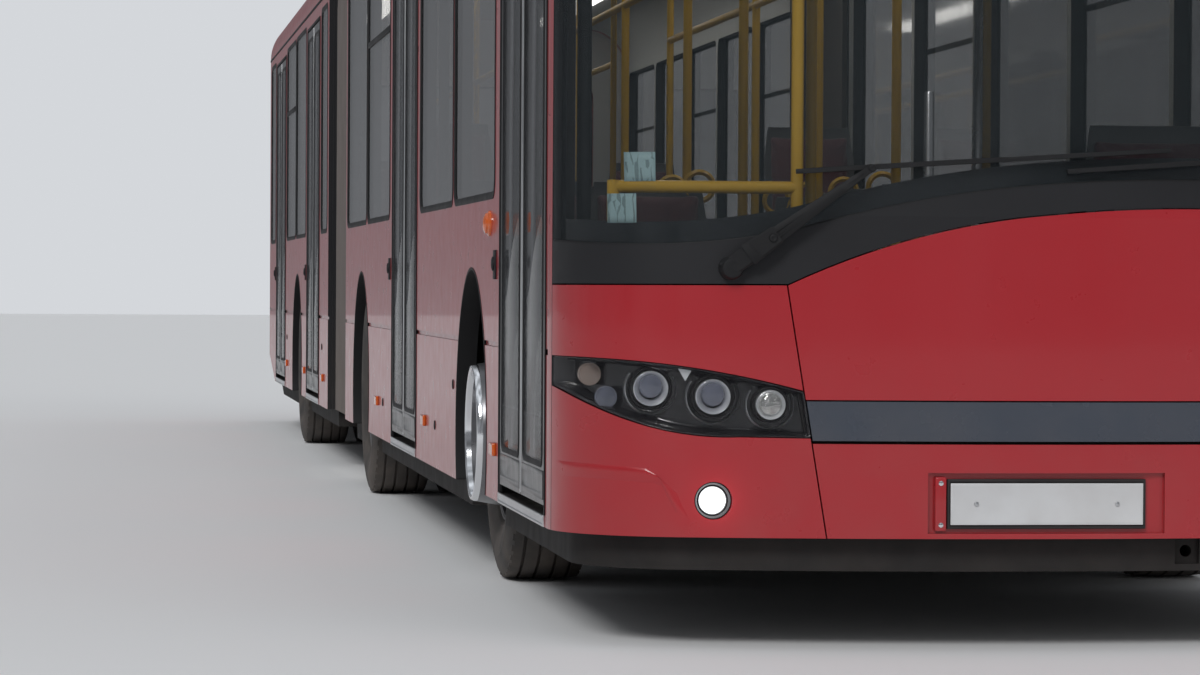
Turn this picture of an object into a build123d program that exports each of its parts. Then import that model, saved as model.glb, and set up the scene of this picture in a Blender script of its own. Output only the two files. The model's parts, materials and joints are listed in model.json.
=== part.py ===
from build123d import *
import math
import os

# An articulated low-floor city bus: a front section with two axles, a trailing section with one,
# a turntable and a pleated bellows between them, and four double doors that glide inwards.
# X runs across the bus, with the doors on -X. Y runs back from the front, and Z up from the road.

# Driving sizes of the whole bus, in millimetres
LENGTH = 18000.0
WIDTH = 2550.0
ROOF_TOP = 2880.0
MIRROR_REACH = 160.0
HALF = WIDTH / 2
NOSE_Y = (MIRROR_REACH - LENGTH) / 2

# Heights of the body
SKIRT_Z = 300.0
UNDERSIDE_Z = 210.0
FLOOR_Z = 330.0
BELT_Z = 1240.0
WINDOW_TOP_Z = 2440.0
CANT_Z = 2500.0
WALL = 60.0
SKIN_GAP = 4.0
SEAT_GAP = 0.3

# Places along the bus, behind the foremost point of the nose
NOSE_DEPTH = 500.0
PILLAR_START = 445.0
REAR_OVERHANG = 3950.0
AXLE_1 = 2750.0
AXLE_3 = LENGTH - REAR_OVERHANG
PIVOT = AXLE_3 - 3950.0
AXLE_2 = PIVOT - 1900.0
JOINT_HALF = 750.0
FRONT_END = PIVOT - JOINT_HALF
REAR_START = PIVOT + JOINT_HALF
TAIL_RADIUS = 160.0

# Nose: bowed in plan, and leaning back above the belt
NOSE_CORNER = 400.0
NOSE_LEAN = 165.0
NOSE_TOP_CORNER = 250.0
LEAN_START_Z = 1150.0
NOSE_SKIN = 40.0
GLASS = 20.0
GLASS_INSET = 2.0

# Wheels
TYRE_RADIUS = 478.5
TYRE_WIDTH = 276.0
RIM_RADIUS = 286.0
FRONT_TRACK = 2100.0
KINGPIN_OFFSET = 60.0
TWIN_OUTER_X = 1107.0
TWIN_SPACING = 316.0
ARCH_RADIUS = 535.0
STEER_BOX_INNER = 560.0
TWIN_BOX_INNER = 620.0
WHEEL_BOX_TOP = 1010.0
BOX_WALL = 30.0

# Doors: two leaves each, carried at mid width by arms on a turning post
DOOR_WIDTH = 1250.0
DOOR_TOP_Z = 2410.0
JAMB_GAP = 20.0
CENTRE_GAP = 10.0
LEAF_THICK = 40.0
POST_DEPTH = 100.0
POST_RADIUS = 20.0
POST_SETBACK = 46.0
ARM_THICK = 18.0
ARM_WIDTH = 36.0
ARM_GAP = 5.0

# Turntable and bellows
PLATFORM_RADIUS = 1000.0
PLATFORM_GAP = 8.0
PLATFORM_THICK = 40.0
YOKE_RADIUS = 300.0
PIN_RADIUS = 60.0
PIN_GAP = 0.05
PLEATS = 16
PLEAT_DEPTH = 60.0

parts = {}


def block(x0, x1, y0, y1, z0, z1):
    """A box between two corners."""
    centre = Pos((x0 + x1) / 2, (y0 + y1) / 2, (z0 + z1) / 2)
    return centre * Box(abs(x1 - x0), abs(y1 - y0), abs(z1 - z0))


def post(x, y, z0, z1, radius):
    """An upright round bar."""
    return Pos(x, y, (z0 + z1) / 2) * Cylinder(radius, z1 - z0)


def cross_bar(x0, x1, y, z, radius):
    """A round bar across the bus."""
    return Pos((x0 + x1) / 2, y, z) * Rot(0, 90, 0) * Cylinder(radius, abs(x1 - x0))


def long_bar(x, y0, y1, z, radius):
    """A round bar along the bus."""
    return Pos(x, (y0 + y1) / 2, z) * Rot(90, 0, 0) * Cylinder(radius, abs(y1 - y0))


def side_face(y0, y1, z0, z1):
    """A rectangle in a side view."""
    return Pos((y0 + y1) / 2, (z0 + z1) / 2) * Rectangle(y1 - y0, z1 - z0)


def upright_plate(face, x0, x1):
    """Extrudes a side view between two places across the bus."""
    low, high = min(x0, x1), max(x0, x1)
    return extrude(Plane.YZ.offset(low) * face, amount=high - low)


def solids_of(shape):
    """The separate solids of a result, as a list."""
    return list(shape.solids())


def add(name, *shapes):
    """Collects the solids of a node."""
    found = parts.setdefault(name, [])
    for shape in shapes:
        found.extend(solids_of(shape))


# The nose's outer form

def nose_outline(z, inset):
    """The nose seen from above at one height, with round corners that meet the sides."""
    rise = max(0.0, (z - LEAN_START_Z) / (ROOF_TOP - LEAN_START_Z))
    lean = NOSE_LEAN * rise
    corner = NOSE_CORNER + (NOSE_TOP_CORNER - NOSE_CORNER) * rise
    reach = NOSE_DEPTH - lean
    bow = ((HALF - corner) ** 2 + reach ** 2 - corner ** 2) / (2 * (reach - corner))
    side_x = HALF - inset
    corner_x = HALF - corner
    # The corner's arc meets the bow where the line between their centres leaves it
    slope = math.atan2(corner_x, lean + bow - NOSE_DEPTH)
    radius = corner - inset
    meet_x = corner_x + radius * math.sin(slope)
    meet_y = NOSE_DEPTH - radius * math.cos(slope)
    middle = (slope + math.pi / 2) / 2
    mid_x = corner_x + radius * math.sin(middle)
    mid_y = NOSE_DEPTH - radius * math.cos(middle)
    right_corner = ThreePointArc((-side_x, NOSE_DEPTH), (-mid_x, mid_y), (-meet_x, meet_y))
    front = ThreePointArc((-meet_x, meet_y), (0, lean + inset), (meet_x, meet_y))
    left_corner = ThreePointArc((meet_x, meet_y), (mid_x, mid_y), (side_x, NOSE_DEPTH))
    back = Line((side_x, NOSE_DEPTH), (-side_x, NOSE_DEPTH))
    return Pos(0, 0, z) * make_face([right_corner, front, left_corner, back])


def nose_form(inset):
    """The nose as a filled block, drawn in by an inset all round."""
    low = extrude(nose_outline(UNDERSIDE_Z - 10, inset), amount=LEAN_START_Z - UNDERSIDE_Z + 10)
    high = loft([nose_outline(LEAN_START_Z, inset), nose_outline(ROOF_TOP, inset)], ruled=True)
    return low + high


def roof_outline(inset):
    """The roof's cross-section down to the cant rail, drawn in by an inset."""
    cant_x = HALF - inset
    shoulder_x = HALF - 255 - 0.35 * inset
    shoulder_z = ROOF_TOP - 70 - inset
    crown_z = ROOF_TOP - inset
    bulge_x = (cant_x + shoulder_x) / 2 + 55 - 0.2 * inset
    bulge_z = (CANT_Z + shoulder_z) / 2 + 49 - 0.2 * inset
    left = ThreePointArc((cant_x, CANT_Z), (bulge_x, bulge_z), (shoulder_x, shoulder_z))
    top = ThreePointArc((shoulder_x, shoulder_z), (0, crown_z), (-shoulder_x, shoulder_z))
    right = ThreePointArc((-shoulder_x, shoulder_z), (-bulge_x, bulge_z), (-cant_x, CANT_Z))
    floor = Line((-cant_x, CANT_Z), (cant_x, CANT_Z))
    return make_face([left, top, right, floor])


def roof_block(y0, y1, inset):
    """The space under the roof between two places along the bus."""
    return Pos(0, y1, 0) * extrude(Plane.XZ * roof_outline(inset), amount=y1 - y0)


def roof_shell(y0, y1):
    """A stretch of roof, one wall thick."""
    return roof_block(y0, y1, 0) - roof_block(y0 - 5, y1 + 5, WALL)


def front_view(face):
    """Extrudes a front view through the nose."""
    return Pos(0, NOSE_DEPTH, 0) * extrude(Plane.XZ * face, amount=NOSE_DEPTH + 50)


# Skin pieces of the nose, drawn in the front view

FLAP_SEAM_TOP_X = 689.0
FLAP_SEAM_BOTTOM_X = 583.0
CORNER_TOP_Z = 964.0
STRIP_TOP_Z = 665.0
STRIP_BOTTOM_Z = 557.0
BUMPER_TOP_Z = 553.0
SCREEN_TOP_Z = 2260.0
DISPLAY_TOP_Z = 2700.0


def seam_x(z):
    """Distance from the middle of the slanting seam between the flap and the corners."""
    share = (z - SKIRT_Z) / (CORNER_TOP_Z - SKIRT_Z)
    return FLAP_SEAM_BOTTOM_X + (FLAP_SEAM_TOP_X - FLAP_SEAM_BOTTOM_X) * share


def red_edge(drop):
    """Upper edge of the painted panels, sweeping up from the door side."""
    points = [
        [(-HALF - 20, CORNER_TOP_Z), (-1000, CORNER_TOP_Z + 1), (-FLAP_SEAM_TOP_X, CORNER_TOP_Z + 2)],
        [(-FLAP_SEAM_TOP_X, CORNER_TOP_Z + 2), (-360, 1090), (0, 1154)],
        [(0, 1154), (210, 1170), (421, 1174)],
        [(421, 1174), (880, 1152), (HALF + 20, 1088)],
    ]
    return [ThreePointArc(*[(x, z - drop) for x, z in arc]) for arc in points]


def glass_edge(drop):
    """Lower edge of the windscreen."""
    points = [
        [(-HALF - 20, 1085), (-960, 1074), (-659, 1115)],
        [(-659, 1115), (-330, 1192), (0, 1234)],
        [(0, 1234), (210, 1246), (420, 1249)],
        [(420, 1249), (880, 1232), (HALF + 20, 1168)],
    ]
    return [ThreePointArc(*[(x, z - drop) for x, z in arc]) for arc in points]


def under_edge(edge, bottom_z):
    """The area under a curved edge, down to a level line."""
    start = edge[0] @ 0
    end = edge[-1] @ 1
    closing = Polyline((end.X, end.Y), (end.X, bottom_z), (start.X, bottom_z), (start.X, start.Y))
    return make_face(list(edge) + [closing])


def middle_face(z0, z1, trim):
    """The area between the two slanting seams."""
    return make_face(Polyline(
        (-seam_x(z0) + trim, z0), (-seam_x(z1) + trim, z1),
        (seam_x(z1) - trim, z1), (seam_x(z0) - trim, z0), close=True))


def lamp_face(side, trim):
    """The almond-shaped headlamp in the front view. It points to the corner of the nose."""
    top_x = seam_x(684) + SKIN_GAP - trim
    foot_x = seam_x(567) + SKIN_GAP - trim
    outer_x = HALF + 20
    upper = ThreePointArc((side * top_x, 684 + trim), (side * 960, 748 + trim), (side * outer_x, 770 + trim))
    outer = Line((side * outer_x, 770 + trim), (side * outer_x, 712 - trim))
    lower = ThreePointArc((side * outer_x, 712 - trim), (side * 1120, 618 - trim), (side * 812, 569 - trim))
    foot = Line((side * 812, 569 - trim), (side * foot_x, 567 - trim))
    inner = Line((side * foot_x, 567 - trim), (side * top_x, 684 + trim))
    return make_face([upper, outer, lower, foot, inner])


nose_skin = nose_form(0) - nose_form(NOSE_SKIN)
forward = block(-HALF - 50, HALF + 50, -50, PILLAR_START - SKIN_GAP, 0, ROOF_TOP + 50)
nose_skin = nose_skin & forward
lamp_holes = [front_view(lamp_face(side, SKIN_GAP)) for side in (-1, 1)]

# Corner panels and the flap between them, one node
painted = front_view(under_edge(red_edge(0), SKIRT_Z))
flap_zone = front_view(middle_face(STRIP_TOP_Z, 1300, 0))
wide_middle_zone = front_view(middle_face(SKIRT_Z - 5, 1300, -SKIN_GAP))
painted_skin = nose_skin & painted
flap = painted_skin & flap_zone
corners = painted_skin - wide_middle_zone
for hole in lamp_holes:
    corners = corners - hole
# Each lamp cuts its corner in two: a panel above it and the bumper's corner below
upper_corners = [solid for solid in corners.solids() if solid.center().Z > STRIP_TOP_Z]
bumper_corners = [solid for solid in corners.solids() if solid.center().Z < STRIP_TOP_Z]
add("front_panels", flap, *upper_corners)

# Bumper: a middle and two corners, with the plate's recess and holes, and fog lamp wells
FOG_X = 879.0
FOG_Z = 397.0
FOG_WELL = 50.0
PLATE_Z = 392.0
PLATE_WIDTH = 520.0
PLATE_HEIGHT = 110.0
PLATE_HOLE_SPACING = 380.0
PLATE_HOLE_RADIUS = 3.5
RECESS_Y = 26.0

bumper_skin = nose_skin & block(-HALF - 50, HALF + 50, -50, NOSE_DEPTH, SKIRT_Z, BUMPER_TOP_Z - SKIN_GAP)
recess = block(-320, 320, -50, RECESS_Y, PLATE_Z - 78, PLATE_Z + 82)
middle = (bumper_skin & front_view(middle_face(SKIRT_Z - 5, BUMPER_TOP_Z, 0))) - recess
fog_wells = [Pos(side * FOG_X, 100, FOG_Z) * Rot(90, 0, 0) * Cylinder(FOG_WELL, 400) for side in (-1, 1)]
for side in (-1, 1):
    plate_hole = Pos(side * PLATE_HOLE_SPACING / 2, 0, PLATE_Z) * Rot(90, 0, 0)
    middle = middle - plate_hole * Cylinder(PLATE_HOLE_RADIUS, 200)
add("bumper", middle)
for corner in bumper_corners:
    add("bumper", corner - fog_wells[0] - fog_wells[1])

# Wipers: an arm and a blade each, on spindles in the cowl

WIPER_Y = -14.0
SPINDLE_HALF = 22.0
WIPERS = [
    # pivot x, pivot z, elbow x, elbow z, blade start x, blade start z, blade end x, blade end z
    (-841.0, 1011.0, -476.0, 1275.0, -670.0, 1266.0, 329.0, 1330.0),
    (841.0, 1194.0, 500.0, 1320.0, 46.0, 1271.0, 1000.0, 1340.0),
]

# Black cowl under the windscreen, and the dark strip between the headlamps
cowl_zone = front_view(under_edge(glass_edge(SEAT_GAP), 900)) - front_view(under_edge(red_edge(-SKIN_GAP), 850))
strip_zone = front_view(middle_face(STRIP_BOTTOM_Z, STRIP_TOP_Z - SKIN_GAP, SKIN_GAP / 2))
cowl = nose_skin & cowl_zone
for px, pz, *_ in WIPERS:
    cowl = cowl - Pos(px, 0, pz) * Rot(90, 0, 0) * Cylinder(SPINDLE_HALF + SEAT_GAP, 500)
strip = (nose_form(4) - nose_form(NOSE_SKIN)) & strip_zone & forward
add("black_trim", cowl, strip)

# Windscreen, and the glass of the destination display above it
glass_skin = (nose_form(GLASS_INSET) - nose_form(GLASS_INSET + GLASS)) & block(
    -HALF - 50, HALF + 50, -50, PILLAR_START - SEAT_GAP, 0, ROOF_TOP + 50)
below_glass = front_view(under_edge(glass_edge(0), 900))
screen_zone = block(-HALF - 50, HALF + 50, -50, NOSE_DEPTH, 900, SCREEN_TOP_Z)
display_zone = block(-HALF - 50, HALF + 50, -50, NOSE_DEPTH, SCREEN_TOP_Z + 8, DISPLAY_TOP_Z)
windscreen = (glass_skin & screen_zone) - below_glass
display = glass_skin & display_zone
add("windscreen", windscreen, display)

# Headlamps: a dark housing behind each almond-shaped hole, with round lenses, and the fog lamps

LENSES = [
    # x, z, radius
    (1185.0, 726.0, 25.0),
    (1147.0, 666.0, 25.0),
    (1038.0, 691.0, 46.0),
    (880.0, 671.0, 46.0),
    (731.0, 651.0, 39.0),
]
LAMP_RECESS = 12.0


def nose_depth_at(x):
    """How far the nose has bowed back at a place across the bus, below the belt."""
    reach = NOSE_DEPTH
    corner_x = HALF - NOSE_CORNER
    bow = (corner_x ** 2 + reach ** 2 - NOSE_CORNER ** 2) / (2 * (reach - NOSE_CORNER))
    meet_x = corner_x + NOSE_CORNER * math.sin(math.atan2(corner_x, bow - NOSE_DEPTH))
    across = abs(x)
    if across < meet_x:
        return bow - math.sqrt(bow ** 2 - across ** 2)
    return NOSE_DEPTH - math.sqrt(max(NOSE_CORNER ** 2 - (across - corner_x) ** 2, 0.0))


lamp_back = nose_form(LAMP_RECESS) - nose_form(NOSE_SKIN)
for side in (-1, 1):
    housing = lamp_back & front_view(lamp_face(side, -SEAT_GAP)) & forward
    for x, z, radius in LENSES:
        lens_y = nose_depth_at(x + radius)
        barrel = Pos(side * x, lens_y + 22, z) * Rot(90, 0, 0) * Cylinder(radius, 32)
        housing = housing + barrel
        dome = Pos(side * x, lens_y + 6, z) * Sphere(radius * 0.86)
        housing = housing + (dome & block(-HALF, HALF, lens_y - 8, lens_y + 60, 0, 1000))
    add("headlamps", housing)
    fog_barrel = Pos(side * FOG_X, 100, FOG_Z) * Rot(90, 0, 0) * Cylinder(FOG_WELL - SEAT_GAP, 400)
    add("headlamps", (nose_form(LAMP_RECESS) - nose_form(NOSE_SKIN)) & fog_barrel)

# Wipers

def flat_bar(x0, z0, x1, z1, width, y_front, thick):
    """A flat bar between two points of the front view."""
    run = math.hypot(x1 - x0, z1 - z0)
    angle = math.degrees(math.atan2(z1 - z0, x1 - x0))
    bar = Rot(0, -angle, 0) * Box(run, thick, width)
    return Pos((x0 + x1) / 2, y_front + thick / 2, (z0 + z1) / 2) * bar


for px, pz, ex, ez, bx, bz, cx, cz in WIPERS:
    arm = flat_bar(px, pz, ex, ez, 26, WIPER_Y, 10)
    blade = flat_bar(bx, bz, cx, cz, 20, WIPER_Y, 12)
    spindle_length = nose_depth_at(px) + NOSE_SKIN / 2 - WIPER_Y
    hub = Pos(px, WIPER_Y + spindle_length / 2, pz) * Rot(90, 0, 0) * Cylinder(SPINDLE_HALF, spindle_length)
    elbow_bar = flat_bar(ex, ez, (bx + cx) / 2, (bz + cz) / 2, 22, WIPER_Y, 10)
    add("wipers", arm + blade + hub + elbow_bar)

# Frame behind the nose's skin, which carries the panels, lamps, bumper and trim

FRAME_SKIN = 30.0
FRAME_TOP_Z = 1060.0
LAMP_FLANGE = 8.0
frame_inset = NOSE_SKIN + SEAT_GAP
nose_frame = (nose_form(frame_inset) - nose_form(frame_inset + FRAME_SKIN)) & block(
    -HALF, HALF, -50, PILLAR_START - SEAT_GAP, FLOOR_Z + SEAT_GAP, FRAME_TOP_Z)
for side in (-1, 1):
    nose_frame = nose_frame - front_view(lamp_face(side, -LAMP_FLANGE))
add("nose_frame", nose_frame)

# Side walls

DOOR_2_START = (AXLE_1 + AXLE_2) / 2 - 465
DOOR_3_START = REAR_START + 850
DOOR_4_START = LENGTH - 2440
FRONT_DOORS = [
    # name, start of the opening
    ("door_1", NOSE_DEPTH + WALL),
    ("door_2", DOOR_2_START),
]
REAR_DOORS = [
    ("door_3", DOOR_3_START),
    ("door_4", DOOR_4_START),
]
WINDOW_PILLAR = 60.0
DOOR_PILLAR = 160.0
JOINT_PILLAR = 120.0
TAIL_PILLAR = 360.0


def window_run(start, end, count):
    """Divides a length of wall into equal windows, as (start, end) pairs."""
    width = (end - start + WINDOW_PILLAR) / count
    return [(start + place * width, start + (place + 1) * width - WINDOW_PILLAR) for place in range(count)]


def after_door(start):
    return start + DOOR_WIDTH + DOOR_PILLAR


FRONT_WINDOW_END = FRONT_END - JOINT_PILLAR
REAR_WINDOW_START = REAR_START + JOINT_PILLAR
REAR_WINDOW_END = LENGTH - TAIL_PILLAR
FRONT_RIGHT_WINDOWS = (window_run(after_door(NOSE_DEPTH + WALL + 20), DOOR_2_START - DOOR_PILLAR, 2)
                       + window_run(after_door(DOOR_2_START + 10), FRONT_WINDOW_END, 2))
FRONT_LEFT_WINDOWS = window_run(620.0, 1740.0, 1) + window_run(1820.0, FRONT_WINDOW_END, 5)
REAR_RIGHT_WINDOWS = (window_run(REAR_WINDOW_START, DOOR_3_START - DOOR_PILLAR, 1)
                      + window_run(after_door(DOOR_3_START), DOOR_4_START - DOOR_PILLAR, 2)
                      + window_run(after_door(DOOR_4_START), REAR_WINDOW_END, 1))
REAR_LEFT_WINDOWS = window_run(REAR_WINDOW_START, REAR_WINDOW_END, 5)
WINDOW_CORNER = 60.0
TAIL_LIFT_Y = LENGTH - 1010
TAIL_LIFT_Z = 470.0
SEAM_Z = 780.0
SEAM_DEPTH = 6.0
SEAM_HEIGHT = 16.0


def window_face(y0, y1, trim):
    """A side window with round corners. A trim makes the pane smaller than its hole."""
    frame = side_face(y0 + trim, y1 - trim, BELT_Z + trim, WINDOW_TOP_Z - trim)
    return fillet(frame.vertices(), WINDOW_CORNER - trim)


def wall_plate(y0, y1, windows, doors, arches, side, tail_lift):
    """A side wall, one panel thick, with its windows, doorways and wheel arches cut."""
    if tail_lift:
        face = make_face(Polyline((y0, SKIRT_Z), (y0, CANT_Z), (y1, CANT_Z), (y1, TAIL_LIFT_Z),
                                  (TAIL_LIFT_Y, SKIRT_Z), close=True))
    else:
        face = side_face(y0, y1, SKIRT_Z, CANT_Z)
    for start, end in windows:
        face = face - window_face(start, end, 0)
    for _, start in doors:
        face = face - side_face(start, start + DOOR_WIDTH, FLOOR_Z, DOOR_TOP_Z)
    for arch in arches:
        face = face - Pos(arch, TYRE_RADIUS) * Circle(ARCH_RADIUS)
    wall = upright_plate(face, side * (HALF - WALL), side * HALF)
    groove = block(side * (HALF - SEAM_DEPTH), side * (HALF + 5), y0 - 5, y1 + 5,
                   SEAM_Z - SEAM_HEIGHT / 2, SEAM_Z + SEAM_HEIGHT / 2)
    return wall - groove


pillar_zone = block(-HALF - 50, HALF + 50, PILLAR_START, NOSE_DEPTH, SKIRT_Z, CANT_Z)
pillars = (nose_form(0) - nose_form(WALL)) & pillar_zone
for side, name, windows, doors in [
    (-1, "front_right_wall", FRONT_RIGHT_WINDOWS, FRONT_DOORS),
    (1, "front_left_wall", FRONT_LEFT_WINDOWS, []),
]:
    wall = wall_plate(NOSE_DEPTH, FRONT_END, windows, doors, (AXLE_1, AXLE_2), side, False)
    pillar = pillars & block(0, side * (HALF + 50), 0, NOSE_DEPTH, 0, ROOF_TOP)
    add(name, wall + pillar)
for side, name, windows, doors in [
    (-1, "rear_right_wall", REAR_RIGHT_WINDOWS, REAR_DOORS),
    (1, "rear_left_wall", REAR_LEFT_WINDOWS, []),
]:
    add(name, wall_plate(REAR_START, LENGTH - TAIL_RADIUS, windows, doors, (AXLE_3,), side, True))

# Panes, flush with the walls
PANE_THICK = 8.0
PANE_INSET = 3.0


def pane(y0, y1, side):
    """A side pane, seated in its hole."""
    outer = side * (HALF - PANE_INSET)
    return upright_plate(window_face(y0, y1, SEAT_GAP), outer, outer - side * PANE_THICK)


for start, end in FRONT_RIGHT_WINDOWS:
    add("front_side_glass", pane(start, end, -1))
for start, end in FRONT_LEFT_WINDOWS:
    add("front_side_glass", pane(start, end, 1))
for start, end in REAR_RIGHT_WINDOWS:
    add("rear_side_glass", pane(start, end, -1))
for start, end in REAR_LEFT_WINDOWS:
    add("rear_side_glass", pane(start, end, 1))

# Roofs. The front one ends in the dome over the display.

dome_end = NOSE_DEPTH - SEAT_GAP
dome_outer = nose_form(0) & roof_block(-50, dome_end, 0)
dome_inner = nose_form(WALL) & roof_block(-60, NOSE_DEPTH + 10, WALL)
over_glass = block(-HALF - 50, HALF + 50, -50, PILLAR_START, CANT_Z - 10, DISPLAY_TOP_Z + SEAT_GAP)
add("front_roof", (dome_outer - dome_inner) - over_glass, roof_shell(NOSE_DEPTH, FRONT_END))
add("rear_roof", roof_shell(REAR_START, LENGTH - TAIL_RADIUS))

# Air-conditioning covers and hatches on the roof
POD_EDGE = 30.0
POD_CORNER = 120.0
FRONT_PODS = [
    # start, length, half width, height above the crown
    (AXLE_1 - 1050.0, 2300.0, 760.0, 120.0),
    (AXLE_1 + 2400.0, 800.0, 400.0, 45.0),
]
REAR_PODS = [
    (REAR_START + 1300.0, 2000.0, 760.0, 120.0),
    (AXLE_3 + 700.0, 800.0, 400.0, 45.0),
]


def roof_pod(start, length, half_x, height):
    """A low cover with round corners whose foot follows the roof."""
    pod = block(-half_x, half_x, start, start + length, ROOF_TOP - 100, ROOF_TOP + height)
    pod = fillet(pod.edges().filter_by(Axis.Z), POD_CORNER)
    pod = fillet(pod.faces().sort_by(Axis.Z)[-1].edges(), POD_EDGE)
    return pod - roof_block(start - 10, start + length + 10, -SEAT_GAP)


for row in FRONT_PODS:
    add("front_roof", roof_pod(*row))
for row in REAR_PODS:
    add("rear_roof", roof_pod(*row))

# Tail: a rounded end panel with its window and lamps

TAIL_WINDOW_TOP = 2350.0
TAIL_WINDOW_BOTTOM = 1350.0
TAIL_WINDOW_HALF = 1000.0


def tail_outline(inset):
    """The tail seen from above, with round corners."""
    plan = Pos(0, LENGTH - TAIL_RADIUS - 200) * Rectangle(2 * (HALF - inset), 2 * (TAIL_RADIUS + 200 - inset))
    return fillet(plan.vertices(), TAIL_RADIUS - inset)


def tail_form(inset):
    """The tail as a filled block under the roof's curve."""
    trunk = Pos(0, 0, TAIL_LIFT_Z) * extrude(tail_outline(inset), amount=CANT_Z - TAIL_LIFT_Z)
    top = Pos(0, 0, CANT_Z) * extrude(tail_outline(inset), amount=ROOF_TOP - CANT_Z)
    cap = top & roof_block(LENGTH - 2 * TAIL_RADIUS - 300, LENGTH + 10, inset)
    return trunk + cap


tail = tail_form(0) - tail_form(WALL)
tail = tail & block(-HALF - 10, HALF + 10, LENGTH - TAIL_RADIUS, LENGTH + 10, 0, ROOF_TOP + 10)
hole = Pos(0, (TAIL_WINDOW_BOTTOM + TAIL_WINDOW_TOP) / 2) * Rectangle(
    2 * TAIL_WINDOW_HALF, TAIL_WINDOW_TOP - TAIL_WINDOW_BOTTOM)
hole = fillet(hole.vertices(), WINDOW_CORNER)
tail = tail - Pos(0, LENGTH + 10, 0) * extrude(Plane.XZ * hole, amount=200)
tail_pane = Pos(0, LENGTH - PANE_INSET, 0) * extrude(Plane.XZ * offset(hole, -SEAT_GAP), amount=PANE_THICK)
add("tail_panel", tail)
add("rear_side_glass", tail_pane)

TAIL_LAMPS = [
    # x, z, half width, half height
    (1040.0, 900.0, 55.0, 55.0),
    (1040.0, 1030.0, 55.0, 55.0),
    (1040.0, 1160.0, 55.0, 55.0),
]
LAMP_PROUD = 12.0
for side in (-1, 1):
    for x, z, half_width, half_height in TAIL_LAMPS:
        y = LENGTH + SEAT_GAP
        add("tail_lamps", block(side * x - half_width, side * x + half_width, y, y + LAMP_PROUD,
                                z - half_height, z + half_height))

# Floors: a frame under each section with boxes over its wheels

SIDE_X = HALF - WALL - SEAT_GAP
BOX_HALF = ARCH_RADIUS + 25.0
YOKE_TOP = UNDERSIDE_Z - 5.0
YOKE_BOTTOM = 150.0
YOKE_HALF = 250.0
WHEEL_Z = TYRE_RADIUS
HUMP_REACH = 80.0
HUMP_HALF = 70.0


def wheel_box(axle, inner_x, side):
    """The box over a wheel, and the space that it leaves for the wheel."""
    low_y, high_y = axle - BOX_HALF, axle + BOX_HALF
    outer = block(side * (inner_x - BOX_WALL), side * SIDE_X, low_y - BOX_WALL, high_y + BOX_WALL,
                  UNDERSIDE_Z, WHEEL_BOX_TOP + BOX_WALL)
    space = block(side * inner_x, side * (HALF + 10), low_y, high_y, UNDERSIDE_Z - 50, WHEEL_BOX_TOP)
    return outer, space


def axle_hump(axle, inner_x, side):
    """The hump beside a box, and the space in it for the end of a beam axle."""
    outer = block(side * (inner_x - HUMP_REACH - BOX_WALL), side * (inner_x - 1), axle - HUMP_HALF - BOX_WALL,
                  axle + HUMP_HALF + BOX_WALL, UNDERSIDE_Z, WHEEL_Z + HUMP_HALF + BOX_WALL)
    space = block(side * (inner_x - HUMP_REACH), side * (inner_x + 1), axle - HUMP_HALF, axle + HUMP_HALF,
                  UNDERSIDE_Z - 50, WHEEL_Z + HUMP_HALF)
    return outer, space


def with_humps(floor, axle):
    """Adds the humps over both ends of a beam axle."""
    for side in (-1, 1):
        outer, space = axle_hump(axle, TWIN_BOX_INNER, side)
        floor = (floor + outer) - space
    return floor


def with_wheel_boxes(floor, boxes):
    """Adds the boxes of a table of axles and inner walls to a floor."""
    for axle, inner_x in boxes:
        for side in (-1, 1):
            outer, space = wheel_box(axle, inner_x, side)
            floor = (floor + outer) - space
    return floor


# The threaded hole for the front towing eye, with a flat face around it
TOW_X = 400.0
TOW_Y = 95.0
TOW_Z = 262.0
TOW_RADIUS = 16.0
TOW_LENGTH = 120.0
TOW_FACE = 34.0

nose_end = NOSE_DEPTH - SEAT_GAP
nose_floor = nose_form(WALL + SEAT_GAP) & block(-HALF, HALF, 0, nose_end, UNDERSIDE_Z, FLOOR_Z)
front_floor = block(-SIDE_X, SIDE_X, NOSE_DEPTH, FRONT_END, UNDERSIDE_Z, FLOOR_Z)
front_floor = with_wheel_boxes(front_floor, [(AXLE_1, STEER_BOX_INNER), (AXLE_2, TWIN_BOX_INNER)])
front_floor = with_humps(front_floor, AXLE_2)
turn_space = Pos(0, PIVOT, (UNDERSIDE_Z + FLOOR_Z) / 2) * Cylinder(PLATFORM_RADIUS + PLATFORM_GAP, 400)
front_floor = front_floor - turn_space
yoke_arm_start = PIVOT - PLATFORM_RADIUS - 400
front_yoke = block(-YOKE_HALF, YOKE_HALF, yoke_arm_start, PIVOT, YOKE_BOTTOM, YOKE_TOP)
front_yoke = front_yoke + post(0, PIVOT, YOKE_BOTTOM, YOKE_TOP, YOKE_RADIUS)
yoke_pad_end = PIVOT - PLATFORM_RADIUS - 2 * PLATFORM_GAP
front_yoke = front_yoke + block(-YOKE_HALF, YOKE_HALF, yoke_arm_start, yoke_pad_end, YOKE_TOP, UNDERSIDE_Z)
pivot_pin = post(0, PIVOT, YOKE_BOTTOM, FLOOR_Z - PLATFORM_THICK - 5, PIN_RADIUS)
tow_face = block(TOW_X - TOW_FACE, TOW_X + TOW_FACE, 0, TOW_Y, TOW_Z - TOW_FACE, TOW_Z + TOW_FACE)
tow_hole = Pos(TOW_X, TOW_Y + TOW_LENGTH / 2, TOW_Z) * Rot(90, 0, 0) * Cylinder(TOW_RADIUS, TOW_LENGTH)
box_zone = block(-HALF, HALF, 0, FRONT_END, FLOOR_Z + SEAT_GAP, ROOF_TOP)
deck_zone = block(-HALF, HALF, 0, FRONT_END, 0, FLOOR_Z)
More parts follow.
